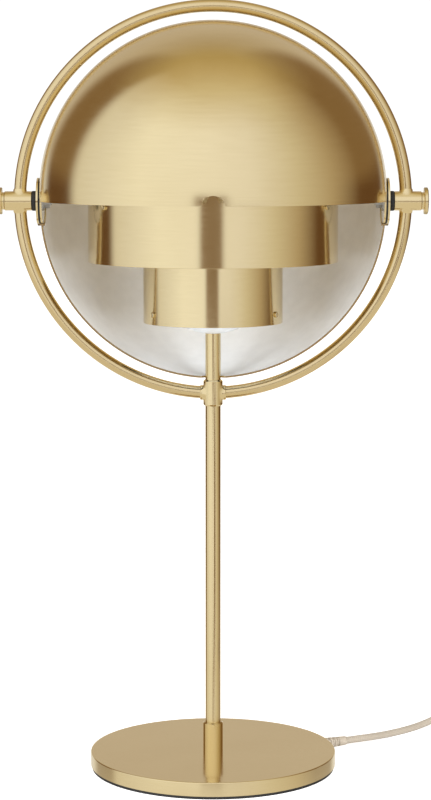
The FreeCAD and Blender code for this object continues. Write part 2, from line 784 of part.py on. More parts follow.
def bulb_cap():
    """Screw cap of the bulb, with its insulator and tip in one outline."""
    thread_low = bulb_tip_z + bulb_tip_height
    root = bulb_cap_radius - bulb_thread_depth
    outline = [(0, bulb_tip_z), (bulb_cap_radius / 4, bulb_tip_z),
               (bulb_cap_radius / 3, bulb_tip_z + bulb_tip_height / 4), (0.8 * bulb_cap_radius, thread_low)]
    for k in range(bulb_thread_turns):
        low = thread_low + k * bulb_thread_pitch
        outline += [(root, low), (bulb_cap_radius, low + 0.4 * bulb_thread_pitch),
                    (bulb_cap_radius, low + 0.6 * bulb_thread_pitch)]
    last = thread_low + bulb_thread_turns * bulb_thread_pitch
    outline += [(root, last), (bulb_cap_radius, last), (bulb_cap_radius, bulb_cap_top), (0, bulb_cap_top)]
    return turned(outline)


def bulb_envelope(radius, neck):
    """The bulb's round form: a sphere and a neck that meets it in a curve."""
    low = V(neck, 0, bulb_cap_top)
    join_turn = math.radians(-38)
    join = V(radius * math.cos(join_turn), 0, bulb_centre_z + radius * math.sin(join_turn))
    bend = V(neck + (join.x - neck) / 4, 0, bulb_cap_top + 0.42 * (join.z - bulb_cap_top))
    top = V(0, 0, bulb_centre_z + radius)
    side = V(radius, 0, bulb_centre_z)
    foot = V(0, 0, bulb_cap_top)
    edges = [Part.LineSegment(foot, low).toShape(), Part.Arc(low, bend, join).toShape(),
             Part.Arc(join, side, top).toShape(), Part.LineSegment(top, foot).toShape()]
    return Part.Face(Part.Wire(edges)).revolve(V(0, 0, 0), UP, 360)


def bulb_glass():
    inside = bulb_envelope(bulb_radius - bulb_glass_wall, bulb_neck_radius - bulb_glass_wall)
    return bulb_envelope(bulb_radius, bulb_neck_radius).cut(inside)


# ---------------------------------------------------------------- cord
def rounded_path(points):
    """Straight runs joined by tangent arcs, and the arcs' radii."""
    spots = [V(*point) for point in points]
    edges = []
    radii = []
    start = spots[0]
    for before, here, after in zip(spots, spots[1:], spots[2:]):
        run_in = here - before
        run_out = after - here
        half_turn = run_in.getAngle(run_out) / 2
        reach = 0.45 * min(run_in.Length, run_out.Length)
        radius = reach / math.tan(half_turn)
        arc_start = here - V(run_in).normalize() * reach
        arc_end = here + V(run_out).normalize() * reach
        inward = ((arc_start + arc_end) * 0.5 - here).normalize()
        arc_middle = here + inward * (radius / math.cos(half_turn) - radius)
        edges.append(Part.LineSegment(start, arc_start).toShape())
        edges.append(Part.Arc(arc_start, arc_middle, arc_end).toShape())
        radii.append(radius)
        start = arc_end
    edges.append(Part.LineSegment(start, spots[-1]).toShape())
    return edges, radii


def tube_along(edges, radius, name):
    """A round bar along joined edges. Prints how well it fills its length."""
    path = Part.Wire(edges)
    start = edges[0].valueAt(edges[0].FirstParameter)
    along = edges[0].tangentAt(edges[0].FirstParameter)
    section = Part.Wire(Part.makeCircle(radius, start, along))
    solid = path.makePipeShell([section], True, False)
    expected = math.pi * radius ** 2 * path.Length
    print(f"{name}: length {path.Length:.1f}, volume {solid.Volume:.0f} of {expected:.0f}")
    return solid


def free_cord(route, name):
    edges, radii = rounded_path(route)
    print(f"{name}: radii", [round(radius, 1) for radius in radii])
    return tube_along(edges, cord_radius, name)


def tangent_arc(start, corner, end):
    """The arc from start to end whose end directions meet at the corner."""
    chord_middle = (start + end) * 0.5
    height = (corner - chord_middle).Length
    half_angle = math.atan2((end - start).Length / 2, height)
    radius = (corner - start).Length * math.tan(half_angle)
    bulge = radius * (1 - math.sin(half_angle))
    return Part.Arc(start, chord_middle + (corner - chord_middle) * (bulge / height), end).toShape()


def biarc(p0, t0, p1, t1):
    """Two arcs from p0 to p1 that meet smoothly and keep both end directions."""
    gap = p1 - p0
    both = t0 + t1
    a = both.dot(both) - 4
    b = -2 * gap.dot(both)
    reach = (-b - math.sqrt(b * b - 4 * a * gap.dot(gap))) / (2 * a)
    corner0 = p0 + t0 * reach
    corner1 = p1 - t1 * reach
    meet = (corner0 + corner1) * 0.5
    return [tangent_arc(p0, corner0, meet), tangent_arc(meet, corner1, p1)]


def coil_point(turns):
    """The coil's middle line: in and out at a steady rate, one layer higher at each change."""
    share = turns / (2 * coil_layer_turns) % 1.0
    inward = 2 * coil_layer_turns * min(share, 1 - share)
    radius = coil_outer_radius - coil_pitch * inward
    level = 0.0
    for change in range(1, coil_layers):
        since = 2 * (turns - change * coil_layer_turns) + 0.5
        since = min(max(since, 0.0), 1.0)
        level += since * since * (3 - 2 * since)
    angle = -2 * math.pi * turns
    height = coil_first_z + coil_pitch * level
    return coil_centre + V(radius * math.cos(angle), radius * math.sin(angle), height)


def coil_direction(turns):
    """Direction along the coil, in line with its straight ends and square where it turns back."""
    step = 0.001
    if turns in (0, coil_turns):
        return V(0, -1, 0)
    return (coil_point(turns + step) - coil_point(turns - step)).normalize()


def coil_edges():
    """The coil on arcs, two to a quarter turn, with straight ends of one cord diameter."""
    lead = V(0, -2 * cord_radius, 0)
    first = coil_point(0)
    last = coil_point(coil_turns)
    edges = [Part.LineSegment(first - lead, first).toShape()]
    for quarter in range(4 * coil_turns):
        start = quarter / 4
        end = (quarter + 1) / 4
        edges += biarc(coil_point(start), coil_direction(start), coil_point(end), coil_direction(end))
    edges.append(Part.LineSegment(last, last + lead).toShape())
    return edges


def least_self_gap(edges, radius):
    """Least clearance of a wound tube to itself, measured on points along it."""
    spots = []
    for edge in edges:
        span = edge.LastParameter - edge.FirstParameter
        spots += [edge.valueAt(edge.FirstParameter + share * span) for share in (0.0, 0.25, 0.5, 0.75)]
    half_turn_of_points = 16
    least = FAR
    for i, here in enumerate(spots):
        for there in spots[i + half_turn_of_points:]:
            least = min(least, here.distanceToPoint(there))
    return least - 2 * radius


def cord_coil():
    """The spare cord, one unbroken tube wound in layers."""
    edges = coil_edges()
    print("cord_coil: least gap to itself", round(least_self_gap(edges, cord_radius), 2))
    return tube_along(edges, cord_radius, "cord_coil")


def along_y(shape):
    return [edge for edge in shape.Edges if abs(edge.tangentAt(edge.FirstParameter).y) > 0.9]


def coil_tie():
    """Soft strap round the coil, on its left."""
    inner_reach = coil_centre.x - (coil_outer_radius - (coil_layer_turns - 0.5) * coil_pitch)
    outer_reach = coil_centre.x - (coil_outer_radius - coil_pitch / 2)
    x0 = outer_reach - cord_radius - tie_play
    x1 = inner_reach + cord_radius + tie_play
    low = tie_floor_gap + tie_thickness
    high = coil_last_z + cord_radius + tie_slack
    y0 = coil_centre.y - tie_width / 2
    y1 = y0 + tie_width
    skin = tie_thickness
    outer = block(x0 - skin, x1 + skin, y0, y1, low - skin, high + skin)
    inner = block(x0, x1, y0 - PAST, y1 + PAST, low, high)
    outer = outer.makeFillet(tie_corner, along_y(outer))
    return outer.cut(inner.makeFillet(tie_corner - skin, along_y(inner)))


def cord_relief():
    """Tapered sleeve in the base's notch: flange inside, neck in the wall, grooved taper outside."""
    start = base_radius + relief_wall_play
    flange_face = base_radius - cover_wall - relief_wall_play
    flange_back = flange_face - relief_flange_thickness
    tip = base_radius + relief_length
    slope = (relief_root_radius - relief_tip_radius) / (tip - start)
    outline = [(flange_back, 0), (flange_back, relief_root_radius), (flange_face, relief_root_radius),
               (flange_face, relief_neck_radius), (start, relief_neck_radius), (start, relief_root_radius)]
    spacing = relief_length / (relief_groove_count + 2.0)
    for k in range(1, relief_groove_count + 1):
        middle = base_radius + k * spacing
        radius = relief_root_radius - slope * (middle - start)
        deep = radius - relief_groove_depth
        floor_half = spacing / 7
        top_half = spacing / 5
        outline += [(middle - top_half, radius), (middle - floor_half, deep),
                    (middle + floor_half, deep), (middle + top_half, radius)]
    outline += [(tip, relief_tip_radius), (tip, 0)]
    profile = face_of([V(x, 0, exit_height + r) for x, r in outline])
    return turn_about_axis(profile.revolve(V(0, 0, exit_height), ALONG_X, 360), exit_turn)


def cord_inner_end():
    """The cord's jacket in the weight's channel."""
    end = base_radius - cover_wall - relief_wall_play - relief_flange_thickness
    jacket = Part.makeCylinder(cord_radius, end - lead_inner_end, V(lead_inner_end, 0, exit_height), ALONG_X)
    return turn_about_axis(jacket, exit_turn)


def inner_wires():
    """Two thin wires from the cord's end, under the nipple and up the stem to the lampholder."""
    wires = []
    inset = wire_bend * (1 - math.sqrt(0.5))
    for side in (-wire_spacing / 2, wire_spacing / 2):
        outer_end = V(lead_inner_end, side, wire_height)
        bend_end = V(wire_bend, side, wire_height)
        bend_middle = V(inset, side, wire_height + inset)
        bend_start = V(0, side, wire_height + wire_bend)
        edges = [Part.LineSegment(outer_end, bend_end).toShape(),
                 Part.Arc(bend_end, bend_middle, bend_start).toShape(),
                 Part.LineSegment(bend_start, V(0, side, insert_z)).toShape()]
        wires.append(turn_about_axis(tube_along(edges, wire_radius, "inner_wire"), exit_turn))
    return Part.makeCompound(wires)


# ---------------------------------------------------------------- in-line switch
def rounded_block(length, width, low, high, corner):
    body = block(-length / 2, length / 2, -width / 2, width / 2, low, high)
    upright = [edge for edge in body.Edges if abs(edge.tangentAt(edge.FirstParameter).z) > 0.9]
    return body.makeFillet(corner, upright)


def soften_level(body, level, radius):
    """Round every edge of a body that lies at one height."""
    rim = [edge for edge in body.Edges
           if abs(edge.BoundBox.ZMin - level) < 0.01 and abs(edge.BoundBox.ZMax - level) < 0.01]
    return body.makeFillet(radius, rim)


def switch_shell(low, high):
    return rounded_block(switch_length, switch_width, low, high, switch_corner)


def switch_hollow(low, high):
    return rounded_block(switch_length - 2 * switch_wall, switch_width - 2 * switch_wall, low, high,
                         switch_corner - switch_wall)


def switch_collars(low, high):
    """The tapered cord entries at both ends, between two heights."""
    reach = switch_length / 2
    cones = [Part.makeCone(switch_collar_root, switch_collar_tip, switch_collar_length + PAST,
                           V(way * (reach - PAST), 0, switch_cord_height), V(way, 0, 0)) for way in (1, -1)]
    return cones[0].fuse(cones[1]).common(block(-FAR, FAR, -FAR, FAR, low, high))


def switch_posts(radius, low, high):
    feet = [V(x, 0, low) for x in (-switch_post_spread, switch_post_spread)]
    return [Part.makeCylinder(radius, high - low, foot) for foot in feet]


def switch_base():
    """Lower half of the in-line switch, with sunk holes for its two screws."""
    body = soften_level(switch_shell(0, switch_base_height), 0, switch_edge / 2)
    body = body.fuse(switch_collars(0, switch_base_height))
    body = body.cut(switch_hollow(switch_wall, switch_base_height + PAST))
    head_top = switch_screw_sunk + switch_screw_head_height
    body = body.cut(switch_posts(switch_screw_head_radius + screw_hole_play, -PAST, head_top))
    return body.cut(switch_posts(switch_screw_radius + screw_hole_play, -PAST, switch_base_height))


def switch_cover():
    """Upper half of the in-line switch, with screw posts and the rocker's window and bearings."""
    body = soften_level(switch_shell(switch_base_height, switch_top), switch_top, switch_edge)
    hollow = switch_hollow(switch_base_height - PAST, switch_top - switch_wall)
    body = body.cut(hollow).fuse(switch_collars(switch_base_height, switch_top).cut(hollow))
    half_length = rocker_length / 2 + rocker_play
    half_width = rocker_width / 2 + rocker_play
    roof = switch_top - switch_wall / 2
    bearing = rocker_pin_radius + switch_wall
    lugs = [block(-bearing, bearing, min(y, y + way * switch_wall), max(y, y + way * switch_wall),
                  rocker_axis_z - bearing, roof) for way, y in ((1, half_width), (-1, -half_width))]
    post_foot = switch_wall + face_gap
    body = body.fuse(lugs + switch_posts(switch_post_radius, post_foot, roof))
    window = block(-half_length, half_length, -half_width, half_width, 0, switch_top + PAST)
    reach = rocker_width / 2 + rocker_pin_reach + face_gap
    pin_start = V(0, -reach, rocker_axis_z)
    pin_hole = Part.makeCylinder(rocker_pin_radius + running_play, 2 * reach, pin_start, ALONG_Y)
    threads = switch_posts(switch_screw_radius + screw_tap_play, 0, switch_screw_reach + face_gap)
    return body.cut([window, pin_hole] + threads)


def switch_rocker():
    """Rocker with a shallow V top on two pins, tipped to off."""
    half = rocker_length / 2
    top = switch_top + rocker_rise
    slope = rocker_rise / 2
    outline = [(-half + slope, top - rocker_height), (half - slope, top - rocker_height),
               (half, rocker_axis_z), (half - slope / 2, top), (0, top - rocker_dip),
               (-half + slope / 2, top), (-half, rocker_axis_z)]
    body = face_of([V(x, -rocker_width / 2, z) for x, z in outline]).extrude(V(0, rocker_width, 0))
    reach = rocker_width / 2 + rocker_pin_reach
    pins = Part.makeCylinder(rocker_pin_radius, 2 * reach, V(0, -reach, rocker_axis_z), ALONG_Y)
    body = body.fuse(pins)
    body.rotate(V(0, 0, rocker_axis_z), ALONG_Y, -rocker_tilt)
    return body


def switch_contacts():
    """Two brass terminal blocks on the switch's floor."""
    half = switch_post_spread / 4
    blocks = [block(x - half, x + half, -switch_wall, switch_wall, switch_wall, 2 * switch_wall)
              for x in (-switch_post_spread / 2, switch_post_spread / 2)]
    return Part.makeCompound(blocks)


def switch_screws():
    """Two screws in the underside that hold the switch's halves together."""
    head_top = switch_screw_sunk + switch_screw_head_height
    heads = switch_posts(switch_screw_head_radius, switch_screw_sunk, head_top)
    shanks = switch_posts(switch_screw_radius, head_top - screw_slot_depth / 2, switch_screw_reach)
    pieces = []
    for x, head, shank in zip((-switch_post_spread, switch_post_spread), heads, shanks):
        half = screw_slot_width / 2
        slot = block(x - switch_post_radius, x + switch_post_radius, -half, half,
                     0, switch_screw_sunk + screw_slot_depth / 2)
        pieces.append(head.fuse(shank).cut(slot))
    return Part.makeCompound(pieces)


def lay_switch(shape):
    return lay(shape, switch_heading, switch_centre)


# ---------------------------------------------------------------- plug
def plug_section(x, width, thickness, corner):
    """A flat outline across the plug, with its corners cut off."""
    w = width / 2
    t = thickness / 2
    corners = [(-w, -t + corner), (-w, t - corner), (-w + corner, t), (w - corner, t),
               (w, t - corner), (w, -t + corner), (w - corner, -t), (-w + corner, -t)]
    spots = [V(x, y, z) for y, z in corners]
    return Part.makePolygon(spots + spots[:1])


def plug_body():
    """Flat two-pin plug with a grooved cord sleeve, made along +X from the sleeve's tip."""
    neck = plug_section(plug_relief, plug_neck_width, plug_neck_thickness, plug_corner)
    shoulder = plug_section(plug_relief + plug_taper, plug_width, plug_thickness, plug_corner)
    front = plug_section(plug_face, plug_width, plug_thickness, plug_corner)
    body = Part.makeLoft([neck, shoulder], True, True).fuse(Part.makeLoft([shoulder, front], True, True))
    tip = cord_radius + plug_relief_wall
    root = plug_neck_thickness / 2 - plug_relief_wall / 2
    sleeve = Part.makeCone(tip, root, plug_relief, V(0, 0, 0), ALONG_X)
    spacing = plug_relief / (plug_groove_count + 1.0)
    for k in range(1, plug_groove_count + 1):
        middle = k * spacing
        start = V(middle - spacing / 6, 0, 0)
        depth_here = tip + (root - tip) * middle / plug_relief - relief_groove_depth
        ring = Part.makeCylinder(plug_neck_thickness, spacing / 3, start, ALONG_X)
        sleeve = sleeve.cut(ring.cut(Part.makeCylinder(depth_here, spacing / 3, start, ALONG_X)))
    return body.fuse(sleeve).removeSplitter()


def pin_sides():
    return (-pin_spacing / 2, pin_spacing / 2)


def plug_pins():
    """Two round pins, thinner under their sleeves, with rounded tips."""
    pins = []
    end = plug_face + pin_length
    for y in pin_sides():
        step = plug_face + pin_sleeve_length
        outline = [(plug_face, 0), (plug_face, pin_core_radius), (step, pin_core_radius),
                   (step, pin_radius), (end - 0.7 * pin_radius, pin_radius),
                   (end - 0.2 * pin_radius, 0.7 * pin_radius), (end, 0.35 * pin_radius), (end, 0)]
        profile = face_of([V(x, y, r) for x, r in outline])
        pins.append(profile.revolve(V(0, y, 0), ALONG_X, 360))
    return Part.makeCompound(pins)


def plug_pin_sleeves():
    sleeves = []
    for y in pin_sides():
        foot = V(plug_face, y, 0)
        outer = Part.makeCylinder(pin_sleeve_radius, pin_sleeve_length, foot, ALONG_X)
        inner = Part.makeCylinder(pin_core_radius + pin_sleeve_play, pin_sleeve_length, foot, ALONG_X)
        sleeves.append(outer.cut(inner))
    return Part.makeCompound(sleeves)


def lay_plug(shape):
    end = cord_to_plug_route[-1]
    return lay(shape, plug_heading, V(end[0], end[1], plug_axis_z))


# ---------------------------------------------------------------- all pieces
pieces = {
    "large_cylinder_screws": screws(large_radius, large_screw_z),
    "small_cylinder_screws": screws(small_radius, small_screw_z),
    "left_ring_arc": left_of(right_ring_arc()),
    "cord_to_switch": free_cord(cord_to_switch_route, "cord_to_switch"),
    "cord_from_switch": free_cord(cord_from_switch_route, "cord_from_switch"),
    "cord_to_plug": free_cord(cord_to_plug_route, "cord_to_plug"),
}
for make in (base_disc, base_weight, base_pad, base_collar, base_nipple, base_washer, base_nut,
             lower_stem, tee_joint, upper_stem, upper_ring_arc, right_ring_arc,
             studs, inner_washers, inner_nuts, front_shade, back_shade,
             large_cylinder, small_cylinder, lower_spider, upper_spider, diffuser_dish, dish_spacer,
             lock_nut, lampholder_cap, lampholder_shell, lampholder_insert, centre_contact,
             thread_sleeve, shade_ring, bulb_cap, bulb_glass,
             inner_wires, cord_inner_end, cord_relief, cord_coil, coil_tie):
    pieces[make.__name__] = make()
for make in (right_hub, right_friction_washer, right_friction_disc, right_thumb_nut):
    right = make()
    pieces[make.__name__] = right
    pieces[make.__name__.replace("right", "left")] = left_of(right)
for make in (switch_base, switch_cover, switch_rocker, switch_contacts, switch_screws):
    pieces[make.__name__] = lay_switch(make())
for make in (plug_body, plug_pins, plug_pin_sleeves):
    pieces[make.__name__] = lay_plug(make())

os.makedirs("parts", exist_ok=True)
for name, shape in pieces.items():
    shape.exportStep("parts/" + name + ".step")
print(len(pieces), "pieces, top of the ring at", pivot_z + ring_radius + ring_tube_radius)
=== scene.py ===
import bpy
import json
from math import asin, atan2, cos, degrees, pi, radians, sin, sqrt
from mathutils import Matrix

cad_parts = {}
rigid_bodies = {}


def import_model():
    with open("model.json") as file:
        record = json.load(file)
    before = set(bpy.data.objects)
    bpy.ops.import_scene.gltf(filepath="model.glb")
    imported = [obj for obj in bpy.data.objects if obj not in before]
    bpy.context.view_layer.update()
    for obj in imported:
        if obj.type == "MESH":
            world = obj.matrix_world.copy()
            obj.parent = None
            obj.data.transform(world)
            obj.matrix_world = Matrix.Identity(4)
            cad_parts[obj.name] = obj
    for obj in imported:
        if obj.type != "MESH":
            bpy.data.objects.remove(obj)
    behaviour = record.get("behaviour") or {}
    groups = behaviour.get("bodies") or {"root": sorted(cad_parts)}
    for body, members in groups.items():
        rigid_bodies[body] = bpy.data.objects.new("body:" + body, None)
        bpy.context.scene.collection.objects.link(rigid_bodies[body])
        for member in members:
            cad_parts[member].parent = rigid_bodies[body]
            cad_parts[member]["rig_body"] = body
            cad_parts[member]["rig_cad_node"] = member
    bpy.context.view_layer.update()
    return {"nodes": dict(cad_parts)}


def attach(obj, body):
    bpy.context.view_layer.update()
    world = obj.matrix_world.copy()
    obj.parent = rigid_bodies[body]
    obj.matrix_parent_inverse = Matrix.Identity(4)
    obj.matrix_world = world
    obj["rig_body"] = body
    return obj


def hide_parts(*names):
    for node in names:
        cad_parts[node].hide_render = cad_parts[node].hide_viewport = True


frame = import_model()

mm = 0.001
parts = frame["nodes"]


# ------------------------------------------------------------------ the camera
# The photograph is taken from straight in front with a long lens, a little above
# the shades and tipped down, so that the base shows its top face.
bpy.ops.object.select_all(action="DESELECT")
bpy.ops.object.camera_add(location=(0.0, -1497.9 * mm, 419.9 * mm), rotation=(radians(83.268), 0.0, 0.0))
camera = bpy.context.object
camera.name = "camera"
camera.data.sensor_width = 36.0
camera.data.lens = 104.52
camera.data.shift_x = 0.0031
bpy.context.scene.camera = camera


# ------------------------------------------------------------------ the pad under the base
# A black rubber disc glued into the foot of the base. It stands back a little from the
# brass wall and shows as a thin dark line that the lamp stands on.
def let_go():
    """Leave edit mode with nothing selected."""
    if bpy.context.object and bpy.context.object.mode == "EDIT":
        bpy.ops.object.mode_set(mode="OBJECT")
    bpy.ops.object.select_all(action="DESELECT")


def first_point(name, spot):
    """One point in edit mode, to draw a piece's outline from. The object sits at the origin."""
    let_go()
    bpy.ops.mesh.primitive_plane_add(size=mm, location=spot)
    piece = bpy.context.object
    piece.name = name
    piece.data.name = name
    bpy.ops.object.transform_apply(location=True, rotation=True, scale=True)
    bpy.ops.object.mode_set(mode="EDIT")
    bpy.ops.mesh.select_all(action="SELECT")
    bpy.ops.mesh.merge(type="CENTER")
    return piece


def draw_to(step):
    bpy.ops.mesh.extrude_region_move(TRANSFORM_OT_translate={"value": step})


def close_up():
    """Merge what meets and turn every face outwards."""
    bpy.ops.mesh.select_all(action="SELECT")
    bpy.ops.mesh.remove_doubles(threshold=0.002 * mm)
    bpy.ops.mesh.select_all(action="SELECT")
    bpy.ops.mesh.normals_make_consistent(inside=False)


def soften(piece, width, layers=2, sharper_than=35.0):
    """Round a piece's edges by a width in millimetres."""
    let_go()
    piece.select_set(True)
    bpy.context.view_layer.objects.active = piece
    bpy.ops.object.modifier_add(type="BEVEL")
    edges = piece.modifiers[-1]
    edges.width = width * mm
    edges.segments = layers
    edges.limit_method = "ANGLE"
    edges.angle_limit = radians(sharper_than)
    bpy.ops.object.modifier_apply(modifier=edges.name)


def smooth(piece, angle=35.0):
    """Smooth curves and crisp edges. A wide face keeps its own direction beside narrow ones."""
    let_go()
    piece.select_set(True)
    bpy.context.view_layer.objects.active = piece
    bpy.ops.object.shade_smooth_by_angle(angle=radians(angle))
    bpy.ops.object.modifier_add(type="WEIGHTED_NORMAL")
    even = piece.modifiers[-1]
    even.keep_sharp = True
    bpy.ops.object.modifier_apply(modifier=even.name)


def turn_upright(name, outline, steps=96, edge=0.0):
    """Turn a piece about the lamp's upright axis, from (radius, height) in millimetres."""
    piece = first_point(name, (outline[0][0] * mm, 0.0, outline[0][1] * mm))
    for here, there in zip(outline, outline[1:]):
        draw_to(((there[0] - here[0]) * mm, 0.0, (there[1] - here[1]) * mm))
    bpy.ops.mesh.select_all(action="SELECT")
    bpy.ops.mesh.spin(steps=steps, angle=2 * pi, center=(0, 0, 0), axis=(0, 0, 1))
    close_up()
    if edge:
        soften(piece, edge)
    smooth(piece)
    return piece


def new_material(name):
    """An empty material with its shader. Returns the material, its nodes, a linking tool and the shader."""
    material = bpy.data.materials.new(name)
    material.use_nodes = True
    nodes = material.node_tree.nodes
    shader = nodes["Principled BSDF"]
    return material, nodes, material.node_tree.links.new, shader


def noise_on_object(nodes, link, scale, detail=3.0, stretch=(1.0, 1.0, 1.0)):
    """Noise that stays on the piece. The scale is in grains per metre."""
    place = nodes.new("ShaderNodeTexCoord")
    spread = nodes.new("ShaderNodeMapping")
    spread.inputs["Scale"].default_value = stretch
    link(place.outputs["Object"], spread.inputs["Vector"])
    noise = nodes.new("ShaderNodeTexNoise")
    noise.inputs["Scale"].default_value = scale
    noise.inputs["Detail"].default_value = detail
    link(spread.outputs["Vector"], noise.inputs["Vector"])
    return noise.outputs["Fac"]


def blend_colours(nodes, link, factor, low, high, darkest=0.0, lightest=1.0):
    """A colour between two, by a grey value."""
    ramp = nodes.new("ShaderNodeValToRGB")
    ramp.color_ramp.elements[0].position = darkest
    ramp.color_ramp.elements[0].color = (*low, 1.0)
    ramp.color_ramp.elements[1].position = lightest
    ramp.color_ramp.elements[1].color = (*high, 1.0)
    link(factor, ramp.inputs["Fac"])
    return ramp.outputs["Color"]


def range_of(nodes, link, value, low, high):
    """A value from 0..1 brought between two others."""
    span = nodes.new("ShaderNodeMapRange")
    span.inputs["To Min"].default_value = low
    span.inputs["To Max"].default_value = high
    link(value, span.inputs["Value"])
    return span.outputs["Result"]


def raise_surface(nodes, link, height, shader, depth, strength=1.0):
    """A grey value as relief, its depth in millimetres."""
    bump = nodes.new("ShaderNodeBump")
    bump.inputs["Strength"].default_value = strength
    bump.inputs["Distance"].default_value = depth * mm
    link(height, bump.inputs["Height"])
    link(bump.outputs["Normal"], shader.inputs["Normal"])


def mottled(name, low, high, roughness, grain, depth, stretch=(1.0, 1.0, 1.0)):
    """A plain moulded, cast or painted finish: two close tones and a fine surface."""
    material, nodes, link, shader = new_material(name)
    clouds = noise_on_object(nodes, link, grain / 12.0, 4.0, stretch)
    fine = noise_on_object(nodes, link, grain, 2.0, stretch)
    link(blend_colours(nodes, link, clouds, low, high, 0.35, 0.65), shader.inputs["Base Color"])
    link(range_of(nodes, link, fine, roughness - 0.08, roughness + 0.08), shader.inputs["Roughness"])
    raise_surface(nodes, link, fine, shader, depth)
    return material


black_rubber = mottled("black_rubber", (0.008, 0.008, 0.009), (0.016, 0.015, 0.015), 0.62, 2600.0, 0.02)


def dress(name, finish):
    """Give a piece of the frame its finish."""
    parts[name].material_slots[0].material = finish


dress("base_pad", black_rubber)


# ------------------------------------------------------------------ the iron weight
# A cast-iron disc that fills the base. It isn't seen while the pad is on: dark grey,
# rough from the sand it was cast in.
cast_iron = mottled("cast_iron", (0.045, 0.045, 0.048), (0.085, 0.082, 0.080), 0.72, 900.0, 0.12)
dress("base_weight", cast_iron)


# ------------------------------------------------------------------ the brass cover of the base
# Spun from brass sheet over the weight and brushed round its axis on the lathe, then
# lacquered. Its wall is turned down square with a small round at the top edge.
def reckon(nodes, link, operation, *values):
    """One step of arithmetic. Each value is a number or a node's output."""
    step = nodes.new("ShaderNodeMath")
    step.operation = operation
    for k, value in enumerate(values):
        if isinstance(value, (int, float)):
            step.inputs[k].default_value = value
        else:
            link(value, step.inputs[k])
    return step.outputs["Value"]


def brush_lines():
    """The lathe's brush lines: fine threads of light and dark that run round the upright axis."""
    group = bpy.data.node_groups.new("brush_lines", "ShaderNodeTree")
    lines_across = group.interface.new_socket("Lines per metre", in_out="INPUT", socket_type="NodeSocketFloat")
    lines_across.default_value = 1500.0
    contrast = group.interface.new_socket("Contrast", in_out="INPUT", socket_type="NodeSocketFloat")
    contrast.default_value = 1.0
    group.interface.new_socket("Lines", in_out="OUTPUT", socket_type="NodeSocketFloat")
    group.interface.new_socket("Clouds", in_out="OUTPUT", socket_type="NodeSocketFloat")
    nodes = group.nodes
    link = group.links.new
    given = nodes.new("NodeGroupInput")
    result = nodes.new("NodeGroupOutput")
    place = nodes.new("ShaderNodeTexCoord")
    flat = nodes.new("ShaderNodeVectorMath")
    flat.operation = "MULTIPLY"
    flat.inputs[1].default_value = (1.0, 1.0, 0.0)
    link(place.outputs["Object"], flat.inputs[0])
    round_way = nodes.new("ShaderNodeVectorMath")
    round_way.operation = "NORMALIZE"
    link(flat.outputs["Vector"], round_way.inputs[0])
    spread = nodes.new("ShaderNodeVectorMath")
    spread.operation = "SCALE"
    spread.inputs["Scale"].default_value = 5.0
    link(round_way.outputs["Vector"], spread.inputs[0])
    reach = nodes.new("ShaderNodeVectorMath")
    reach.operation = "LENGTH"
    link(flat.outputs["Vector"], reach.inputs[0])
    level = nodes.new("ShaderNodeSeparateXYZ")
    link(place.outputs["Object"], level.inputs["Vector"])
    along = reckon(nodes, link, "ADD", level.outputs["Z"], reach.outputs["Value"])
    across = reckon(nodes, link, "MULTIPLY", along, given.outputs["Lines per metre"])
    lift = nodes.new("ShaderNodeCombineXYZ")
    link(across, lift.inputs["Z"])
    thread = nodes.new("ShaderNodeVectorMath")
    thread.operation = "ADD"
    link(spread.outputs["Vector"], thread.inputs[0])
    link(lift.outputs["Vector"], thread.inputs[1])
    noise = nodes.new("ShaderNodeTexNoise")
    noise.inputs["Scale"].default_value = 1.0
    noise.inputs["Detail"].default_value = 3.0
    noise.inputs["Roughness"].default_value = 0.65
    link(thread.outputs["Vector"], noise.inputs["Vector"])
    around_nought = reckon(nodes, link, "SUBTRACT", noise.outputs["Fac"], 0.5)
    lines = reckon(nodes, link, "MULTIPLY_ADD", around_nought, given.outputs["Contrast"], 0.5)
    link(lines, result.inputs["Lines"])
    clouds = nodes.new("ShaderNodeTexNoise")
    clouds.inputs["Scale"].default_value = 22.0
    clouds.inputs["Detail"].default_value = 3.0
    link(place.outputs["Object"], clouds.inputs["Vector"])
    link(clouds.outputs["Fac"], result.inputs["Clouds"])
    return group


lathe_lines = brush_lines()


def brushed_brass(name, low, high, roughness, lines, contrast, depth, pull=0.0):
    """Brushed, lacquered brass. Low and high are the metal's tones in and between the lines."""
    material, nodes, link, shader = new_material(name)
    grain = nodes.new("ShaderNodeGroup")
    grain.node_tree = lathe_lines
    grain.inputs["Lines per metre"].default_value = lines
    grain.inputs["Contrast"].default_value = contrast
    both = reckon(nodes, link, "ADD", grain.outputs["Lines"], grain.outputs["Clouds"])
    tone = reckon(nodes, link, "MULTIPLY", both, 0.5)
    link(blend_colours(nodes, link, tone, low, high, 0.3, 0.7), shader.inputs["Base Color"])
    link(range_of(nodes, link, grain.outputs["Lines"], roughness - 0.04, roughness + 0.04),
         shader.inputs["Roughness"])
    raise_surface(nodes, link, grain.outputs["Lines"], shader, depth)
    shader.inputs["Metallic"].default_value = 1.0
    shader.inputs["Anisotropic"].default_value = pull
    return material


satin_brass = brushed_brass("satin_brass", (0.765, 0.635, 0.375), (0.815, 0.690, 0.425), 0.13, 1400.0, 1.0, 0.0016,
                            pull=0.35)

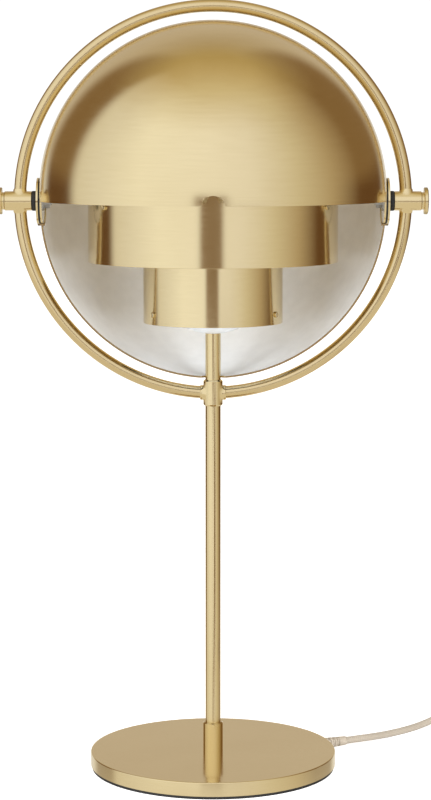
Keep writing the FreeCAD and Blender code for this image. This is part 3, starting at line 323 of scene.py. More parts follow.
base_radius = 80.6
cover_low = 1.9
cover_top = 11.0
cover_wall = 1.5
cover_round = 0.7
foot_chamfer = 0.15
nipple_hole = 4.05
base_cover = turn_upright(
    "base_cover",
    [(nipple_hole, cover_top), (nipple_hole, cover_top - cover_wall),
     (base_radius - cover_wall, cover_top - cover_wall), (base_radius - cover_wall, cover_low),
     (base_radius - foot_chamfer, cover_low), (base_radius, cover_low + foot_chamfer),
     (base_radius, cover_top - cover_round), (base_radius - 0.09, cover_top - 0.36),
     (base_radius - 0.36, cover_top - 0.09), (base_radius - cover_round, cover_top),
     (nipple_hole, cover_top)], steps=180)
base_cover.data.materials.append(satin_brass)
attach(base_cover, "stand")
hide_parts("base_disc")


# ------------------------------------------------------------------ nipple, washer and nut in the base
# A hollow steel thread clamps the collar to the cover, with a washer and a hexagon nut
# in the weight's pocket. Zinc-plated, so a cool, slightly cloudy grey.
def plated(name, low, high, roughness, grain):
    material, nodes, link, shader = new_material(name)
    clouds = noise_on_object(nodes, link, grain, 4.0)
    link(blend_colours(nodes, link, clouds, low, high, 0.3, 0.7), shader.inputs["Base Color"])
    link(range_of(nodes, link, clouds, roughness - 0.08, roughness + 0.08), shader.inputs["Roughness"])
    raise_surface(nodes, link, clouds, shader, 0.01)
    shader.inputs["Metallic"].default_value = 1.0
    return material


zinc_steel = plated("zinc_steel", (0.42, 0.43, 0.44), (0.58, 0.58, 0.57), 0.36, 420.0)
for name in ("base_nipple", "base_washer", "base_nut"):
    dress(name, zinc_steel)


# ------------------------------------------------------------------ the collar on the base
# Turned from brass bar, with a small chamfer round its mouth. The stem stands in it and
# it hides the nipple. Polished closer than the sheet parts.
turned_brass = brushed_brass("turned_brass", (0.745, 0.605, 0.340), (0.800, 0.665, 0.395), 0.12, 1900.0, 0.9, 0.001,
                             pull=0.2)
collar_radius = 6.55
collar_top = 29.7
collar_chamfer = 0.8
stem_socket = 5.05
socket_floor = 17.0
collar = turn_upright(
    "collar",
    [(nipple_hole, cover_top), (collar_radius, cover_top), (collar_radius, collar_top - collar_chamfer),
     (collar_radius - collar_chamfer, collar_top), (stem_socket, collar_top), (stem_socket, socket_floor),
     (nipple_hole, socket_floor), (nipple_hole, cover_top)], steps=72)
collar.data.materials.append(turned_brass)
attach(collar, "stand")
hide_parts("base_collar")


# ------------------------------------------------------------------ the stem
# Two lengths of drawn brass tube, one from the collar to the T-joint and one above it,
# whose top is turned down to the thread that carries dish, spider and lampholder.
stem_radius = 5.0
stem_bore = 4.0
lower_end = 244.8
upper_foot = 251.2
shoulder = 286.7
thread_bore = 2.6
thread_floor = 282.7
thread_top = 313.7
lower_tube = turn_upright(
    "lower_tube",
    [(stem_radius, socket_floor), (stem_radius, lower_end), (stem_bore, lower_end), (stem_bore, socket_floor),
     (stem_radius, socket_floor)], steps=72)
upper_tube = turn_upright(
    "upper_tube",
    [(stem_bore, upper_foot), (stem_radius, upper_foot), (stem_radius, shoulder), (stem_bore, shoulder),
     (stem_bore, thread_top), (thread_bore, thread_top), (thread_bore, thread_floor), (stem_bore, thread_floor),
     (stem_bore, upper_foot)], steps=72)
for tube, node in ((lower_tube, "lower_stem"), (upper_tube, "upper_stem")):
    tube.data.materials.append(turned_brass)
    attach(tube, "stand")
    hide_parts(node)


# ------------------------------------------------------------------ the T-joint
# Turned brass body with a chamfer at both ends and two short side sockets, in which the
# ends of the ring are brazed.
def merge_with(piece, others, way="UNION"):
    """Fuse other closed pieces into one, or cut them out of it, and drop them."""
    let_go()
    for other in others:
        piece.select_set(True)
        bpy.context.view_layer.objects.active = piece
        bpy.ops.object.modifier_add(type="BOOLEAN")
        cut = piece.modifiers[-1]
        cut.operation = way
        cut.solver = "EXACT"
        cut.object = other
        bpy.ops.object.modifier_apply(modifier=cut.name)
        bpy.data.objects.remove(other)


def turn_along_x(name, outline, height, steps=72, edge=0.0, sweep=360.0, first=0.0):
    """Turn a piece about a level line from left to right, from (place along it, radius)."""
    turn = radians(first)
    piece = first_point(name, (outline[0][0] * mm, -outline[0][1] * mm * sin(turn),
                               (height + outline[0][1] * cos(turn)) * mm))
    for here, there in zip(outline, outline[1:]):
        out = (there[1] - here[1]) * mm
        draw_to(((there[0] - here[0]) * mm, -out * sin(turn), out * cos(turn)))
    bpy.ops.mesh.select_all(action="SELECT")
    bpy.ops.mesh.spin(steps=steps, angle=radians(sweep), center=(0, 0, height * mm), axis=(-1, 0, 0))
    close_up()
    if edge:
        soften(piece, edge)
    smooth(piece)
    return piece


tee_middle = 248.0
tee_radius = 6.3
tee_low = tee_middle - 8.5
tee_top = tee_middle + 8.5
tee_chamfer = 0.9
tee = turn_upright(
    "tee",
    [(stem_socket, tee_low), (tee_radius - tee_chamfer, tee_low), (tee_radius, tee_low + tee_chamfer),
     (tee_radius, tee_top - tee_chamfer), (tee_radius - tee_chamfer, tee_top), (stem_socket, tee_top),
     (stem_socket, tee_low)], steps=72)
arm_end = 8.4
arm_radius = 4.8
arm_chamfer = 0.35
arms = turn_along_x(
    "tee_arms",
    [(-arm_end, 0.0), (-arm_end, arm_radius - arm_chamfer), (-arm_end + arm_chamfer, arm_radius),
     (arm_end - arm_chamfer, arm_radius), (arm_end, arm_radius - arm_chamfer), (arm_end, 0.0)], tee_middle)
merge_with(tee, [arms])
smooth(tee, 30.0)
tee.data.materials.append(turned_brass)
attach(tee, "stand")
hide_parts("tee_joint")


# ------------------------------------------------------------------ the ring
# Round brass tube bent to a true circle in three lengths: over the top from hub to hub,
# and from each hub down and round to the T-joint. Brushed along its length.
pivot_z = 372.0
ring_radius = 124.0
ring_tube = 4.0


def bend_ring(name, first, last, steps):
    """A length of the ring, between two angles: 0 is the right pivot and 90 the top."""
    let_go()
    turn = radians(first)
    bpy.ops.mesh.primitive_circle_add(
        vertices=40, radius=ring_tube * mm, fill_type="NOTHING",
        location=(ring_radius * cos(turn) * mm, 0.0, (pivot_z + ring_radius * sin(turn)) * mm),
        rotation=(0.0, -turn, 0.0))
    piece = bpy.context.object
    piece.name = name
    piece.data.name = name
    bpy.ops.object.transform_apply(location=True, rotation=True, scale=True)
    bpy.ops.object.mode_set(mode="EDIT")
    bpy.ops.mesh.select_all(action="SELECT")
    bpy.ops.mesh.spin(steps=steps, angle=radians(last - first), center=(0, 0, pivot_z * mm), axis=(0, 1, 0))
    bpy.ops.mesh.select_all(action="SELECT")
    bpy.ops.mesh.region_to_loop()
    bpy.ops.mesh.edge_face_add()
    close_up()
    smooth(piece)
    return piece


hub_to_tube = 3.4
tee_to_tube = 5.45
hub_turn = degrees(asin(hub_to_tube / ring_radius))
tee_turn = degrees(asin(tee_to_tube / ring_radius))
top_arc = bend_ring("top_arc", hub_turn, 180.0 - hub_turn, 180)
right_arc = bend_ring("right_arc", -90.0 + tee_turn, -hub_turn, 96)
left_arc = bend_ring("left_arc", 180.0 + hub_turn, 270.0 - tee_turn, 96)
ring_brass = brushed_brass("ring_brass", (0.695, 0.555, 0.310), (0.755, 0.615, 0.360), 0.17, 1900.0, 0.9, 0.001)
for arc, node in ((top_arc, "upper_ring_arc"), (right_arc, "right_ring_arc"), (left_arc, "left_ring_arc")):
    arc.data.materials.append(ring_brass)
    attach(arc, "stand")
    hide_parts(node)


# ------------------------------------------------------------------ the hubs of the ring
# Turned brass bosses at both ends of the pivots' line, bored for the studs. The ring's
# tubes are let in and brazed, which leaves a small cone of solder round each.
hub_inside = 116.2
hub_outside = 134.0
hub_radius = 6.2
hub_chamfer = 0.4
stud_hole = 2.54
bead_foot = 5.15
bead_tip = 4.1
bead_height = 4.6
bead_lift = 5.5
for side, way in (("right", 1), ("left", -1)):
    boss = turn_along_x(
        side + "_boss",
        [(way * hub_inside, stud_hole), (way * hub_inside, hub_radius - hub_chamfer),
         (way * (hub_inside + hub_chamfer), hub_radius), (way * (hub_outside - hub_chamfer), hub_radius),
         (way * hub_outside, hub_radius - hub_chamfer), (way * hub_outside, stud_hole),
         (way * hub_inside, stud_hole)], pivot_z)
    for up in (1, -1):
        let_go()
        bpy.ops.mesh.primitive_cone_add(
            vertices=48, radius1=bead_foot * mm, radius2=bead_tip * mm, depth=bead_height * mm,
            location=(way * ring_radius * mm, 0.0, (pivot_z + up * bead_lift) * mm),
            rotation=(0.0 if up == 1 else pi, 0.0, 0.0))
        bead = bpy.context.object
        bpy.ops.object.transform_apply(location=True, rotation=True, scale=True)
        merge_with(boss, [bead])
    smooth(boss, 30.0)
    boss.data.materials.append(turned_brass)
    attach(boss, "stand")
    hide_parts(side + "_hub")


# ------------------------------------------------------------------ studs and inner nuts
# Plated steel studs that the shades turn on, with a washer and a hexagon nut inside the
# shades. Only an end and a nut can be seen, from behind or below.
for name in ("studs", "inner_washers", "inner_nuts"):
    dress(name, zinc_steel)


# ------------------------------------------------------------------ friction washers
# Black rubber: a thick washer between each hub and the outer ear, and a thin domed disc
# between the two ears. They hold the shades where they are put.
washer_inside = 114.0
washer_radius = 6.4
for side, way in (("right", 1), ("left", -1)):
    washer = turn_along_x(
        side + "_washer",
        [(way * washer_inside, stud_hole), (way * washer_inside, washer_radius), (way * hub_inside, washer_radius),
         (way * hub_inside, stud_hole), (way * washer_inside, stud_hole)], pivot_z, edge=0.25)
    washer.data.materials.append(black_rubber)
    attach(washer, "stand")
    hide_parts(side + "_friction_washer")
    dress(side + "_friction_disc", black_rubber)


# ------------------------------------------------------------------ thumb nuts
# Knurled brass nuts at the ends of the pivots, tightened by hand to hold the shades. A
# short neck, then a thin disc with forty teeth and rounded edges.
nut_foot = 134.1
nut_neck = 5.6
nut_disc = 135.4
nut_end = 138.2
nut_radius = 8.65
nut_round = 0.5
teeth_and_dips = 80
tooth_depth = 0.4
for side, way in (("right", 1), ("left", -1)):
    nut = turn_along_x(
        side + "_knob",
        [(way * nut_foot, 0.0), (way * nut_foot, nut_neck), (way * nut_disc, nut_neck),
         (way * nut_disc, nut_radius - nut_round), (way * (nut_disc + nut_round), nut_radius),
         (way * (nut_end - nut_round), nut_radius), (way * nut_end, nut_radius - 2 * nut_round),
         (way * nut_end, 0.0)], pivot_z, steps=teeth_and_dips)
    bpy.context.view_layer.objects.active = nut
    bpy.ops.object.mode_set(mode="EDIT")
    bpy.ops.mesh.select_mode(type="VERT")
    bpy.ops.mesh.select_all(action="DESELECT")
    bpy.ops.object.mode_set(mode="OBJECT")
    for point in nut.data.vertices:
        across = point.co.y / mm
        above = point.co.z / mm - pivot_z
        if sqrt(across ** 2 + above ** 2) > 8.0:
            tooth = round(atan2(across, above) / (2 * pi) * teeth_and_dips)
            point.select = tooth % 2 == 1
    bpy.ops.object.mode_set(mode="EDIT")
    dip = (nut_radius - tooth_depth) / nut_radius
    bpy.ops.transform.resize(value=(1.0, dip, dip), center_override=(0.0, 0.0, pivot_z * mm))
    smooth(nut, 20.0)
    nut.data.materials.append(turned_brass)
    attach(nut, side + "_thumb_nut")
    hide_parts(side + "_thumb_nut")


# ------------------------------------------------------------------ the shades
# Two quarters of a sphere spun from brass sheet: one over the top front, one under the
# back, so that together they make a dome and a bowl. Brushed brass outside, matt white
# paint inside, with an ear at each end that turns on the studs, and a notch for the stem.
white_paint = mottled("white_paint", (0.85, 0.84, 0.825), (0.89, 0.88, 0.865), 0.58, 1500.0, 0.01)
dome_brass = brushed_brass("dome_brass", (0.765, 0.635, 0.375), (0.815, 0.690, 0.425), 0.155, 1100.0, 1.0, 0.0018,
                           pull=0.2)
shade_radius = 111.4
shade_wall = 1.2
shade_offset = 3.4
edge_gap = 0.25
notch_radius = 7.5
notch_drop = 1.2
ear_bore = 14.6
front_ear_radius = 14.2
back_ear_radius = 14.8
back_ear_face = 113.9
seat_radius = 15.9
ear_lap = 0.2
seat_turn = 89.8


def arc_points(centre, radius, first, last, count):
    """Points on an arc: along by the cosine and out by the sine."""
    steps = [first + (last - first) * k / count for k in range(count + 1)]
    return [(centre[0] + radius * cos(radians(a)), centre[1] + radius * sin(radians(a))) for a in steps]


def domed_ear(name, way, face, radius, hole=2.58, inner=None, sweep=360.0, first=0.0):
    """A domed plate about the middle of the pivots' line, at one end of it."""
    inside = face - shade_wall
    low = degrees(asin((inner or hole) / face))
    outer = [(way * x, r) for x, r in arc_points((0.0, 0.0), face, low, degrees(asin(radius / face)), 6)]
    under = [(way * x, r) for x, r in
             arc_points((0.0, 0.0), inside, degrees(asin(radius / inside)), degrees(asin((inner or hole) / inside)), 6)]
    outline = outer + under + outer[:1]
    return turn_along_x(name, outline, pivot_z, sweep=sweep, first=first)


def cap_ends(piece):
    """Close the open ends of a part-turned piece."""
    let_go()
    bpy.context.view_layer.objects.active = piece
    piece.select_set(True)
    bpy.ops.object.mode_set(mode="EDIT")
    bpy.ops.mesh.select_all(action="DESELECT")
    bpy.ops.mesh.select_non_manifold()
    bpy.ops.mesh.edge_face_add()
    close_up()
    let_go()


def quarter_shell(name, front):
    """A quarter of the sphere, cut at the planes, walled, and bored for the ears."""
    step = -1.0 if front else 1.0
    middle_y = step * shade_offset
    middle_z = pivot_z - step * shade_offset
    let_go()
    bpy.ops.mesh.primitive_uv_sphere_add(segments=256, ring_count=128, radius=shade_radius * mm,
                                         rotation=(0.0, pi / 2, 0.0))
    piece = bpy.context.object
    piece.name = name
    piece.data.name = name
    bpy.ops.object.transform_apply(location=True, rotation=True, scale=True)
    bpy.ops.object.mode_set(mode="EDIT")
    bpy.ops.mesh.select_all(action="SELECT")
    bpy.ops.transform.translate(value=(0.0, middle_y * mm, middle_z * mm))
    bpy.ops.mesh.select_all(action="SELECT")
    bpy.ops.mesh.bisect(plane_co=(0.0, step * edge_gap * mm, 0.0), plane_no=(0.0, step, 0.0), clear_inner=True)
    bpy.ops.mesh.select_all(action="SELECT")
    bpy.ops.mesh.bisect(plane_co=(0.0, 0.0, (pivot_z - step * edge_gap) * mm), plane_no=(0.0, 0.0, -step),
                        clear_inner=True)
    let_go()
    piece.select_set(True)
    bpy.context.view_layer.objects.active = piece
    bpy.ops.object.modifier_add(type="SOLIDIFY")
    wall = piece.modifiers[-1]
    wall.thickness = shade_wall * mm
    wall.offset = -1.0
    wall.use_even_offset = True
    bpy.ops.object.modifier_apply(modifier=wall.name)
    let_go()
    bpy.ops.mesh.primitive_cylinder_add(vertices=96, radius=ear_bore * mm, depth=300.0 * mm,
                                        location=(0.0, 0.0, pivot_z * mm), rotation=(0.0, pi / 2, 0.0))
    bore = bpy.context.object
    let_go()
    if front:
        bpy.ops.mesh.primitive_cylinder_add(
            vertices=96, radius=notch_radius * mm, depth=150.0 * mm,
            location=(0.0, -80.0 * mm, (pivot_z + edge_gap - notch_drop) * mm), rotation=(pi / 2, 0.0, 0.0))
    else:
        bpy.ops.mesh.primitive_cylinder_add(
            vertices=96, radius=notch_radius * mm, depth=150.0 * mm,
            location=(0.0, (edge_gap - notch_drop) * mm, (pivot_z - 80.0) * mm))
    notch = bpy.context.object
    merge_with(piece, [bore, notch], "DIFFERENCE")
    soften(piece, 0.25, 2, 50.0)
    return piece, (0.0, middle_y, middle_z)


def finish_shade(piece, middle, ears, node, body):
    """Join the ears to the shell, paint the inside, brush the outside."""
    let_go()
    for ear in ears:
        ear.select_set(True)
    piece.select_set(True)
    bpy.context.view_layer.objects.active = piece
    bpy.ops.object.join()
    smooth(piece, 40.0)
    piece.data.materials.clear()
    piece.data.materials.append(dome_brass)
    piece.data.materials.append(white_paint)
    for face in piece.data.polygons:
        out = [face.center[k] - middle[k] * mm for k in range(3)]
        facing_in = sum(out[k] * face.normal[k] for k in range(3)) < -0.6 * sqrt(sum(v * v for v in out))
        face.material_index = 1 if facing_in else 0
    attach(piece, body)
    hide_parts(node)


front_dome, front_middle = quarter_shell("front_dome", True)
front_ears = []
for way in (1, -1):
    front_ears.append(domed_ear("front_ear", way, shade_radius, front_ear_radius))
    seat = domed_ear("front_seat", way, shade_radius, seat_radius, inner=front_ear_radius - ear_lap,
                     sweep=seat_turn, first=0.1)
    cap_ends(seat)
    front_ears.append(seat)
finish_shade(front_dome, front_middle, front_ears, "front_shade", "front_shade")

back_dome, back_middle = quarter_shell("back_dome", False)
back_ears = []
for way in (1, -1):
    back_ears.append(domed_ear("back_ear", way, back_ear_face, back_ear_radius))
    seat = domed_ear("back_seat", way, back_ear_face, seat_radius, inner=back_ear_radius - ear_lap,
                     sweep=seat_turn, first=180.1)
    cap_ends(seat)
    back_ears.append(seat)
    step_inside = sqrt((shade_radius - shade_wall) ** 2 - 15.2 ** 2) - 1.0
    step_outside = 112.6
    step = turn_along_x(
        "back_step",
        [(way * step_inside, ear_bore), (way * step_outside, ear_bore), (way * step_outside, seat_radius),
         (way * step_inside, seat_radius), (way * step_inside, ear_bore)],
        pivot_z, sweep=seat_turn, first=180.1)
    cap_ends(step)
    back_ears.append(step)
finish_shade(back_dome, back_middle, back_ears, "back_shade", "back_shade")


# ------------------------------------------------------------------ the cylinders
# Two open drums rolled from brass strip and brushed round, one inside the shades and a
# small one under it. Each hangs on a spider by three screws.
large_radius = 80.4
small_radius = 45.0
drum_wall = 1.0


def drum(name, radius, low, height):
    """An open drum from its outer radius, its lower edge and its height."""
    inside = radius - drum_wall
    outline = [(radius, low), (radius, low + height), (inside, low + height), (inside, low), (radius, low)]
    return turn_upright(name, outline, steps=180, edge=0.22)


large_drum = drum("large_drum", large_radius, 333.1, 73.0)
small_drum = drum("small_drum", small_radius, 293.8, 58.0)
for piece, node in ((large_drum, "large_cylinder"), (small_drum, "small_cylinder")):
    piece.data.materials.append(satin_brass)
    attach(piece, "stand")
    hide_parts(node)


# ------------------------------------------------------------------ the screws of the cylinders
# Three small slotted cheese-head screws in each cylinder, of brass, evenly round it. They
# go into the tabs of the spiders.
def cheese_head(name, wall_radius, height, turn):
    """One screw, made lying along X, then turned about the lamp's axis."""
    foot = wall_radius + 0.05
    tip = foot - 4.6
    head_top = foot + 1.1
    shank_radius = 1.2
    head_radius = 1.9
    screw = turn_along_x(
        name,
        [(tip, 0.0), (tip, shank_radius), (foot, shank_radius), (foot, head_radius),
         (head_top - 0.25, head_radius), (head_top - 0.08, head_radius - 0.12),
         (head_top, head_radius - 0.35), (head_top, 0.0)], height, steps=36)
    let_go()
    bpy.ops.mesh.primitive_cube_add(size=1.0, location=((head_top + 0.25) * mm, 0.0, height * mm))
    slot_tool = bpy.context.object
    slot_tool.scale = (1.5 * mm, 0.5 * mm, 6.0 * mm)
    bpy.ops.object.transform_apply(location=True, rotation=True, scale=True)
    merge_with(screw, [slot_tool], "DIFFERENCE")
    screw.rotation_euler = (0.0, 0.0, radians(turn))
    let_go()
    screw.select_set(True)
    bpy.context.view_layer.objects.active = screw
    bpy.ops.object.transform_apply(location=True, rotation=True, scale=True)
    smooth(screw, 30.0)
    return screw


for wall_radius, height, node in ((large_radius, 369.5, "large_cylinder_screws"),
                                  (small_radius, 300.4, "small_cylinder_screws")):
    screws = [cheese_head(node, wall_radius, height, turn) for turn in (92.5, 212.5, 332.5)]
    let_go()
    for screw in screws:
        screw.select_set(True)
    bpy.context.view_layer.objects.active = screws[0]
    bpy.ops.object.join()
    group = bpy.context.object
    group.name = node.replace("cylinder_screws", "drum_screws")
    group.data.materials.append(turned_brass)
    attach(group, "stand")
    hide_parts(node)


# ------------------------------------------------------------------ the spiders
# Pressed steel plates, zinc plated: a ring with three arms whose bent tabs take the
# cylinders' screws. They sit on the thread and on the lampholder's flange.
def as_made(node, name, finish, body="stand", angle=28.0):
    """A piece whose solid is right as it is: a joined-up copy of it with smooth curves."""
    let_go()
    piece = parts[node].copy()
    piece.data = parts[node].data.copy()
    piece.name = name
    piece.data.name = name
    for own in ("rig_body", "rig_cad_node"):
        if own in piece:
            del piece[own]
    piece.parent = None
    bpy.context.scene.collection.objects.link(piece)
    piece.select_set(True)
    bpy.context.view_layer.objects.active = piece
    bpy.ops.object.mode_set(mode="EDIT")
    bpy.ops.mesh.select_all(action="SELECT")
    bpy.ops.mesh.remove_doubles(threshold=0.001 * mm)
    smooth(piece, angle)
    piece.data.materials.clear()
    piece.data.materials.append(finish)
    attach(piece, body)
    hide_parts(node)
    return piece


as_made("lower_spider", "small_drum_spider", zinc_steel)
as_made("upper_spider", "large_drum_spider", zinc_steel)


# ------------------------------------------------------------------ the dish
# An opal acrylic dish, part of a sphere, that closes the small cylinder from below and
# lets soft light down on the stem.
opal_dish, nodes, link, shader = new_material("opal_dish")
haze = noise_on_object(nodes, link, 60.0, 2.0)
link(blend_colours(nodes, link, haze, (0.80, 0.83, 0.88), (0.86, 0.885, 0.92), 0.3, 0.7),
     shader.inputs["Base Color"])
link(range_of(nodes, link, haze, 0.24, 0.34), shader.inputs["Roughness"])
shader.inputs["Subsurface Weight"].default_value = 0.25
shader.inputs["Subsurface Radius"].default_value = (0.004, 0.004, 0.004)
dish_middle_z = 328.4
dish_radius = 42.0
dish_wall = 1.5
dish_outer = [(r, dish_middle_z - c) for c, r in arc_points((0.0, 0.0), dish_radius, 6.84, 48.73, 20)]
dish_inner = [(r, dish_middle_z - c) for c, r in arc_points((0.0, 0.0), dish_radius - dish_wall, 46.8, 9.24, 20)]
dish_outline = [(nipple_hole, shoulder)] + dish_outer + dish_inner + [(nipple_hole, 288.4), (nipple_hole, shoulder)]
dish = turn_upright("dish", dish_outline, steps=120, edge=0.25)
dish.data.materials.append(opal_dish)
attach(dish, "stand")
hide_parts("diffuser_dish")
for name in ("dish_spacer", "lock_nut"):
    dress(name, zinc_steel)


# ------------------------------------------------------------------ the lampholder
# Black phenolic cap and shell with a flange, a ceramic insert with its brass contact, a
# plated thread sleeve, and the ring nut that clamps the upper spider.
holder_plastic = mottled("holder_plastic", (0.012, 0.011, 0.011), (0.022, 0.020, 0.019), 0.34, 1200.0, 0.006)
ceramic = mottled("ceramic", (0.70, 0.68, 0.64), (0.77, 0.75, 0.71), 0.42, 1500.0, 0.02)
bulb_metal = plated("bulb_metal", (0.60, 0.60, 0.60), (0.72, 0.72, 0.71), 0.28, 500.0)
as_made("lampholder_cap", "holder_cap", holder_plastic)
as_made("lampholder_shell", "holder_shell", holder_plastic)
as_made("shade_ring", "holder_ring", holder_plastic)
dress("lampholder_insert", ceramic)
dress("centre_contact", turned_brass)
dress("thread_sleeve", bulb_metal)


# ------------------------------------------------------------------ the bulb
# A small round opal lamp with a screw cap. Its glass is white all through, with a soft
# gloss; the cap is bright nickel.
opal_glass, nodes, link, shader = new_material("opal_glass")
milk = noise_on_object(nodes, link, 40.0, 2.0)
link(blend_colours(nodes, link, milk, (0.86, 0.855, 0.84), (0.90, 0.895, 0.88), 0.3, 0.7),
     shader.inputs["Base Color"])
link(range_of(nodes, link, milk, 0.12, 0.20), shader.inputs["Roughness"])
shader.inputs["Subsurface Weight"].default_value = 0.3
shader.inputs["Subsurface Radius"].default_value = (0.006, 0.006, 0.006)
globe_z = 391.3
globe_radius = 23.5
glass_foot = 362.9
foot_bore = 11.6
neck = [(12.4, glass_foot), (12.5, 366.0), (13.0, 369.0), (14.6, 372.6), (16.6, 375.0)]
globe = [(r, globe_z + z) for r, z in arc_points((0.0, 0.0), globe_radius, -38.0, 90.0, 40)]
hollow = [(0.0, 414.0), (foot_bore, 364.0), (foot_bore, glass_foot)]
bulb = turn_upright("bulb", [(foot_bore, glass_foot)] + neck + globe + hollow, steps=120)
bulb.data.materials.append(opal_glass)
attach(bulb, "stand")
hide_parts("bulb_glass")
as_made("bulb_cap", "bulb_screw_cap", bulb_metal, angle=40.0)


# ------------------------------------------------------------------ the wires in the stem
# Two thin insulated wires from the cord's end up to the lampholder, and the jacket's
# last piece in the weight's channel. Not seen from outside.
wire_sleeve = mottled("wire_sleeve", (0.60, 0.57, 0.52), (0.68, 0.65, 0.60), 0.5, 1500.0, 0.01)
dress("inner_wires", wire_sleeve)
dress("cord_inner_end", wire_sleeve)


# ------------------------------------------------------------------ the cord
# A round mains lead in a beige braid of cotton-like yarn. It leaves the base through a
# soft grooved sleeve, lies on the table to the in-line switch, and goes on from there
# into a neat coil, held by a strap, with the plug beside it.
cord_width = 4.8


def braid(name, turns_round, turns_along):
    """Woven yarn that follows the lead: two sets of threads that cross on a slant."""
    material, nodes, link, shader = new_material(name)
    along = nodes.new("ShaderNodeTexCoord")
    layers = []
    for slant in (1.0, -1.0):
        spread = nodes.new("ShaderNodeMapping")
        spread.inputs["Scale"].default_value = (turns_along, turns_round * slant, 1.0)
        link(along.outputs["UV"], spread.inputs["Vector"])
        turned_way = nodes.new("ShaderNodeVectorMath")
        turned_way.operation = "DOT_PRODUCT"
        turned_way.inputs[1].default_value = (1.0, 1.0, 0.0)
        link(spread.outputs["Vector"], turned_way.inputs[0])
        angle = reckon(nodes, link, "MULTIPLY", turned_way.outputs["Value"], 2 * pi)
        layers.append(reckon(nodes, link, "SINE", angle))
    crossing = reckon(nodes, link, "MULTIPLY", *layers)
    threads = reckon(nodes, link, "MULTIPLY_ADD", crossing, 0.5, 0.5)
    fuzz = noise_on_object(nodes, link, 900.0, 3.0)
    yarn = reckon(nodes, link, "MULTIPLY_ADD", threads, 0.6, reckon(nodes, link, "MULTIPLY", fuzz, 0.4))
    link(blend_colours(nodes, link, yarn, (0.31, 0.255, 0.195), (0.48, 0.415, 0.335), 0.1, 0.9),
         shader.inputs["Base Color"])
    link(range_of(nodes, link, fuzz, 0.75, 0.92), shader.inputs["Roughness"])
    raise_surface(nodes, link, yarn, shader, 0.25)
    shader.inputs["Sheen Weight"].default_value = 0.25
    shader.inputs["Sheen Roughness"].default_value = 0.5
    return material


def lay_cord(name, route, finish):
    """A smooth lead of the cord's width along a route of points."""
    line = bpy.data.curves.new(name, "CURVE")
    line.dimensions = "3D"
    line.bevel_depth = cord_width / 2 * mm
    line.bevel_resolution = 6
    line.resolution_u = 6
    line.use_fill_caps = True
    spline = line.splines.new("NURBS")
    spline.points.add(len(route) - 1)
    for point, spot in zip(spline.points, route):
        point.co = (spot[0] * mm, spot[1] * mm, spot[2] * mm, 1.0)
    spline.order_u = 3
    spline.use_endpoint_u = True
    line.materials.append(finish)
    lead = bpy.data.objects.new(name, line)
    bpy.context.scene.collection.objects.link(lead)
    return lead


cord_plastic = mottled("cord_plastic", (0.42, 0.355, 0.28), (0.49, 0.42, 0.34), 0.5, 1400.0, 0.01)

to_switch = [(90.03, 44.89, 4.5), (103.45, 51.58, 4.5), (119.0, 67.8, 2.4), (133.6, 80.0, 2.4),
             (146.6, 94.6, 2.4), (162.0, 106.3, 6.0), (181.06, 110.35, 6.0)]
from_switch = [(253.46, 125.74, 6.0), (270.09, 129.27, 6.0), (288.16, 121.96, 4.2), (299.06, 105.79, 3.2),
               (300.3, 84.6, 3.2), (300.3, 64.8, 3.2)]
to_plug = [(300.3, 55.2, 19.1), (300.3, 39.0, 19.1), (299.9, 21.0, 12.6), (300.75, 3.0, 6.85),
           (302.43, -13.0, 6.85)]


coil_middle = (266.3, 60.0)
coil_radius = 34.0
coil_pitch = 5.3
coil_foot = 3.2
coil_turns = 8
turns_per_layer = 2.0


def coil_spot(turns):
    """The coil's middle line: in and out at a steady rate, one layer higher at each change."""
    share = turns / (2.0 * turns_per_layer) % 1.0
    inward = 2.0 * turns_per_layer * min(share, 1.0 - share)
    radius = coil_radius - coil_pitch * inward
    level = 0.0
    for change in (1, 2, 3):
        since = min(max(2.0 * (turns - change * turns_per_layer) + 0.5, 0.0), 1.0)
        level += since * since * (3.0 - 2.0 * since)
    angle = -2.0 * pi * turns
    return (coil_middle[0] + radius * cos(angle), coil_middle[1] + radius * sin(angle),
            coil_foot + coil_pitch * level)


points_per_turn = 16
coil = [coil_spot(k / points_per_turn) for k in range(coil_turns * points_per_turn + 1)]

lead_to_switch = lay_cord("lead_to_switch", to_switch, braid("braid_short", 6.0, 46.0))
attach(lead_to_switch, "stand")
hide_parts("cord_to_switch")

lead_to_plug = lay_cord("lead_to_plug", from_switch + coil + to_plug, braid("braid_long", 6.0, 640.0))
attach(lead_to_plug, "stand")
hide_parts("cord_from_switch", "cord_coil", "cord_to_plug")


# ------------------------------------------------------------------ the sleeve at the base
# A soft tapered sleeve, moulded in the cord's colour, with four grooves so that it bends.
# Its neck sits in the notch of the brass wall.
sleeve = as_made("cord_relief", "cord_sleeve", cord_plastic)


# ------------------------------------------------------------------ the in-line switch
# Two moulded halves in the cord's beige, screwed together from below, with a tapered
# collar at each end and a rocker on top. Two brass terminals inside.
switch_pieces = [as_made("switch_base", "switch_lower_half", cord_plastic),
                 as_made("switch_cover", "switch_upper_half", cord_plastic),
                 as_made("switch_rocker", "switch_key", cord_plastic, body="switch_rocker")]
dress("switch_contacts", turned_brass)
dress("switch_screws", plated("steel_screws", (0.50, 0.50, 0.51), (0.62, 0.62, 0.62), 0.30, 600.0))


# ------------------------------------------------------------------ the plug
# A flat two-pin plug in the same beige plastic, with a grooved sleeve. The nickel pins
# have black insulating sleeves next to the body.
plug = as_made("plug_body", "plug_moulding", cord_plastic, angle=20.0)
nickel_pins = plated("nickel_pins", (0.66, 0.65, 0.62), (0.76, 0.75, 0.72), 0.22, 500.0)
pins = as_made("plug_pins", "contact_pins", nickel_pins)
dress("plug_pin_sleeves", mottled("black_plastic", (0.010, 0.010, 0.011), (0.020, 0.020, 0.021), 0.4, 1500.0, 0.01))


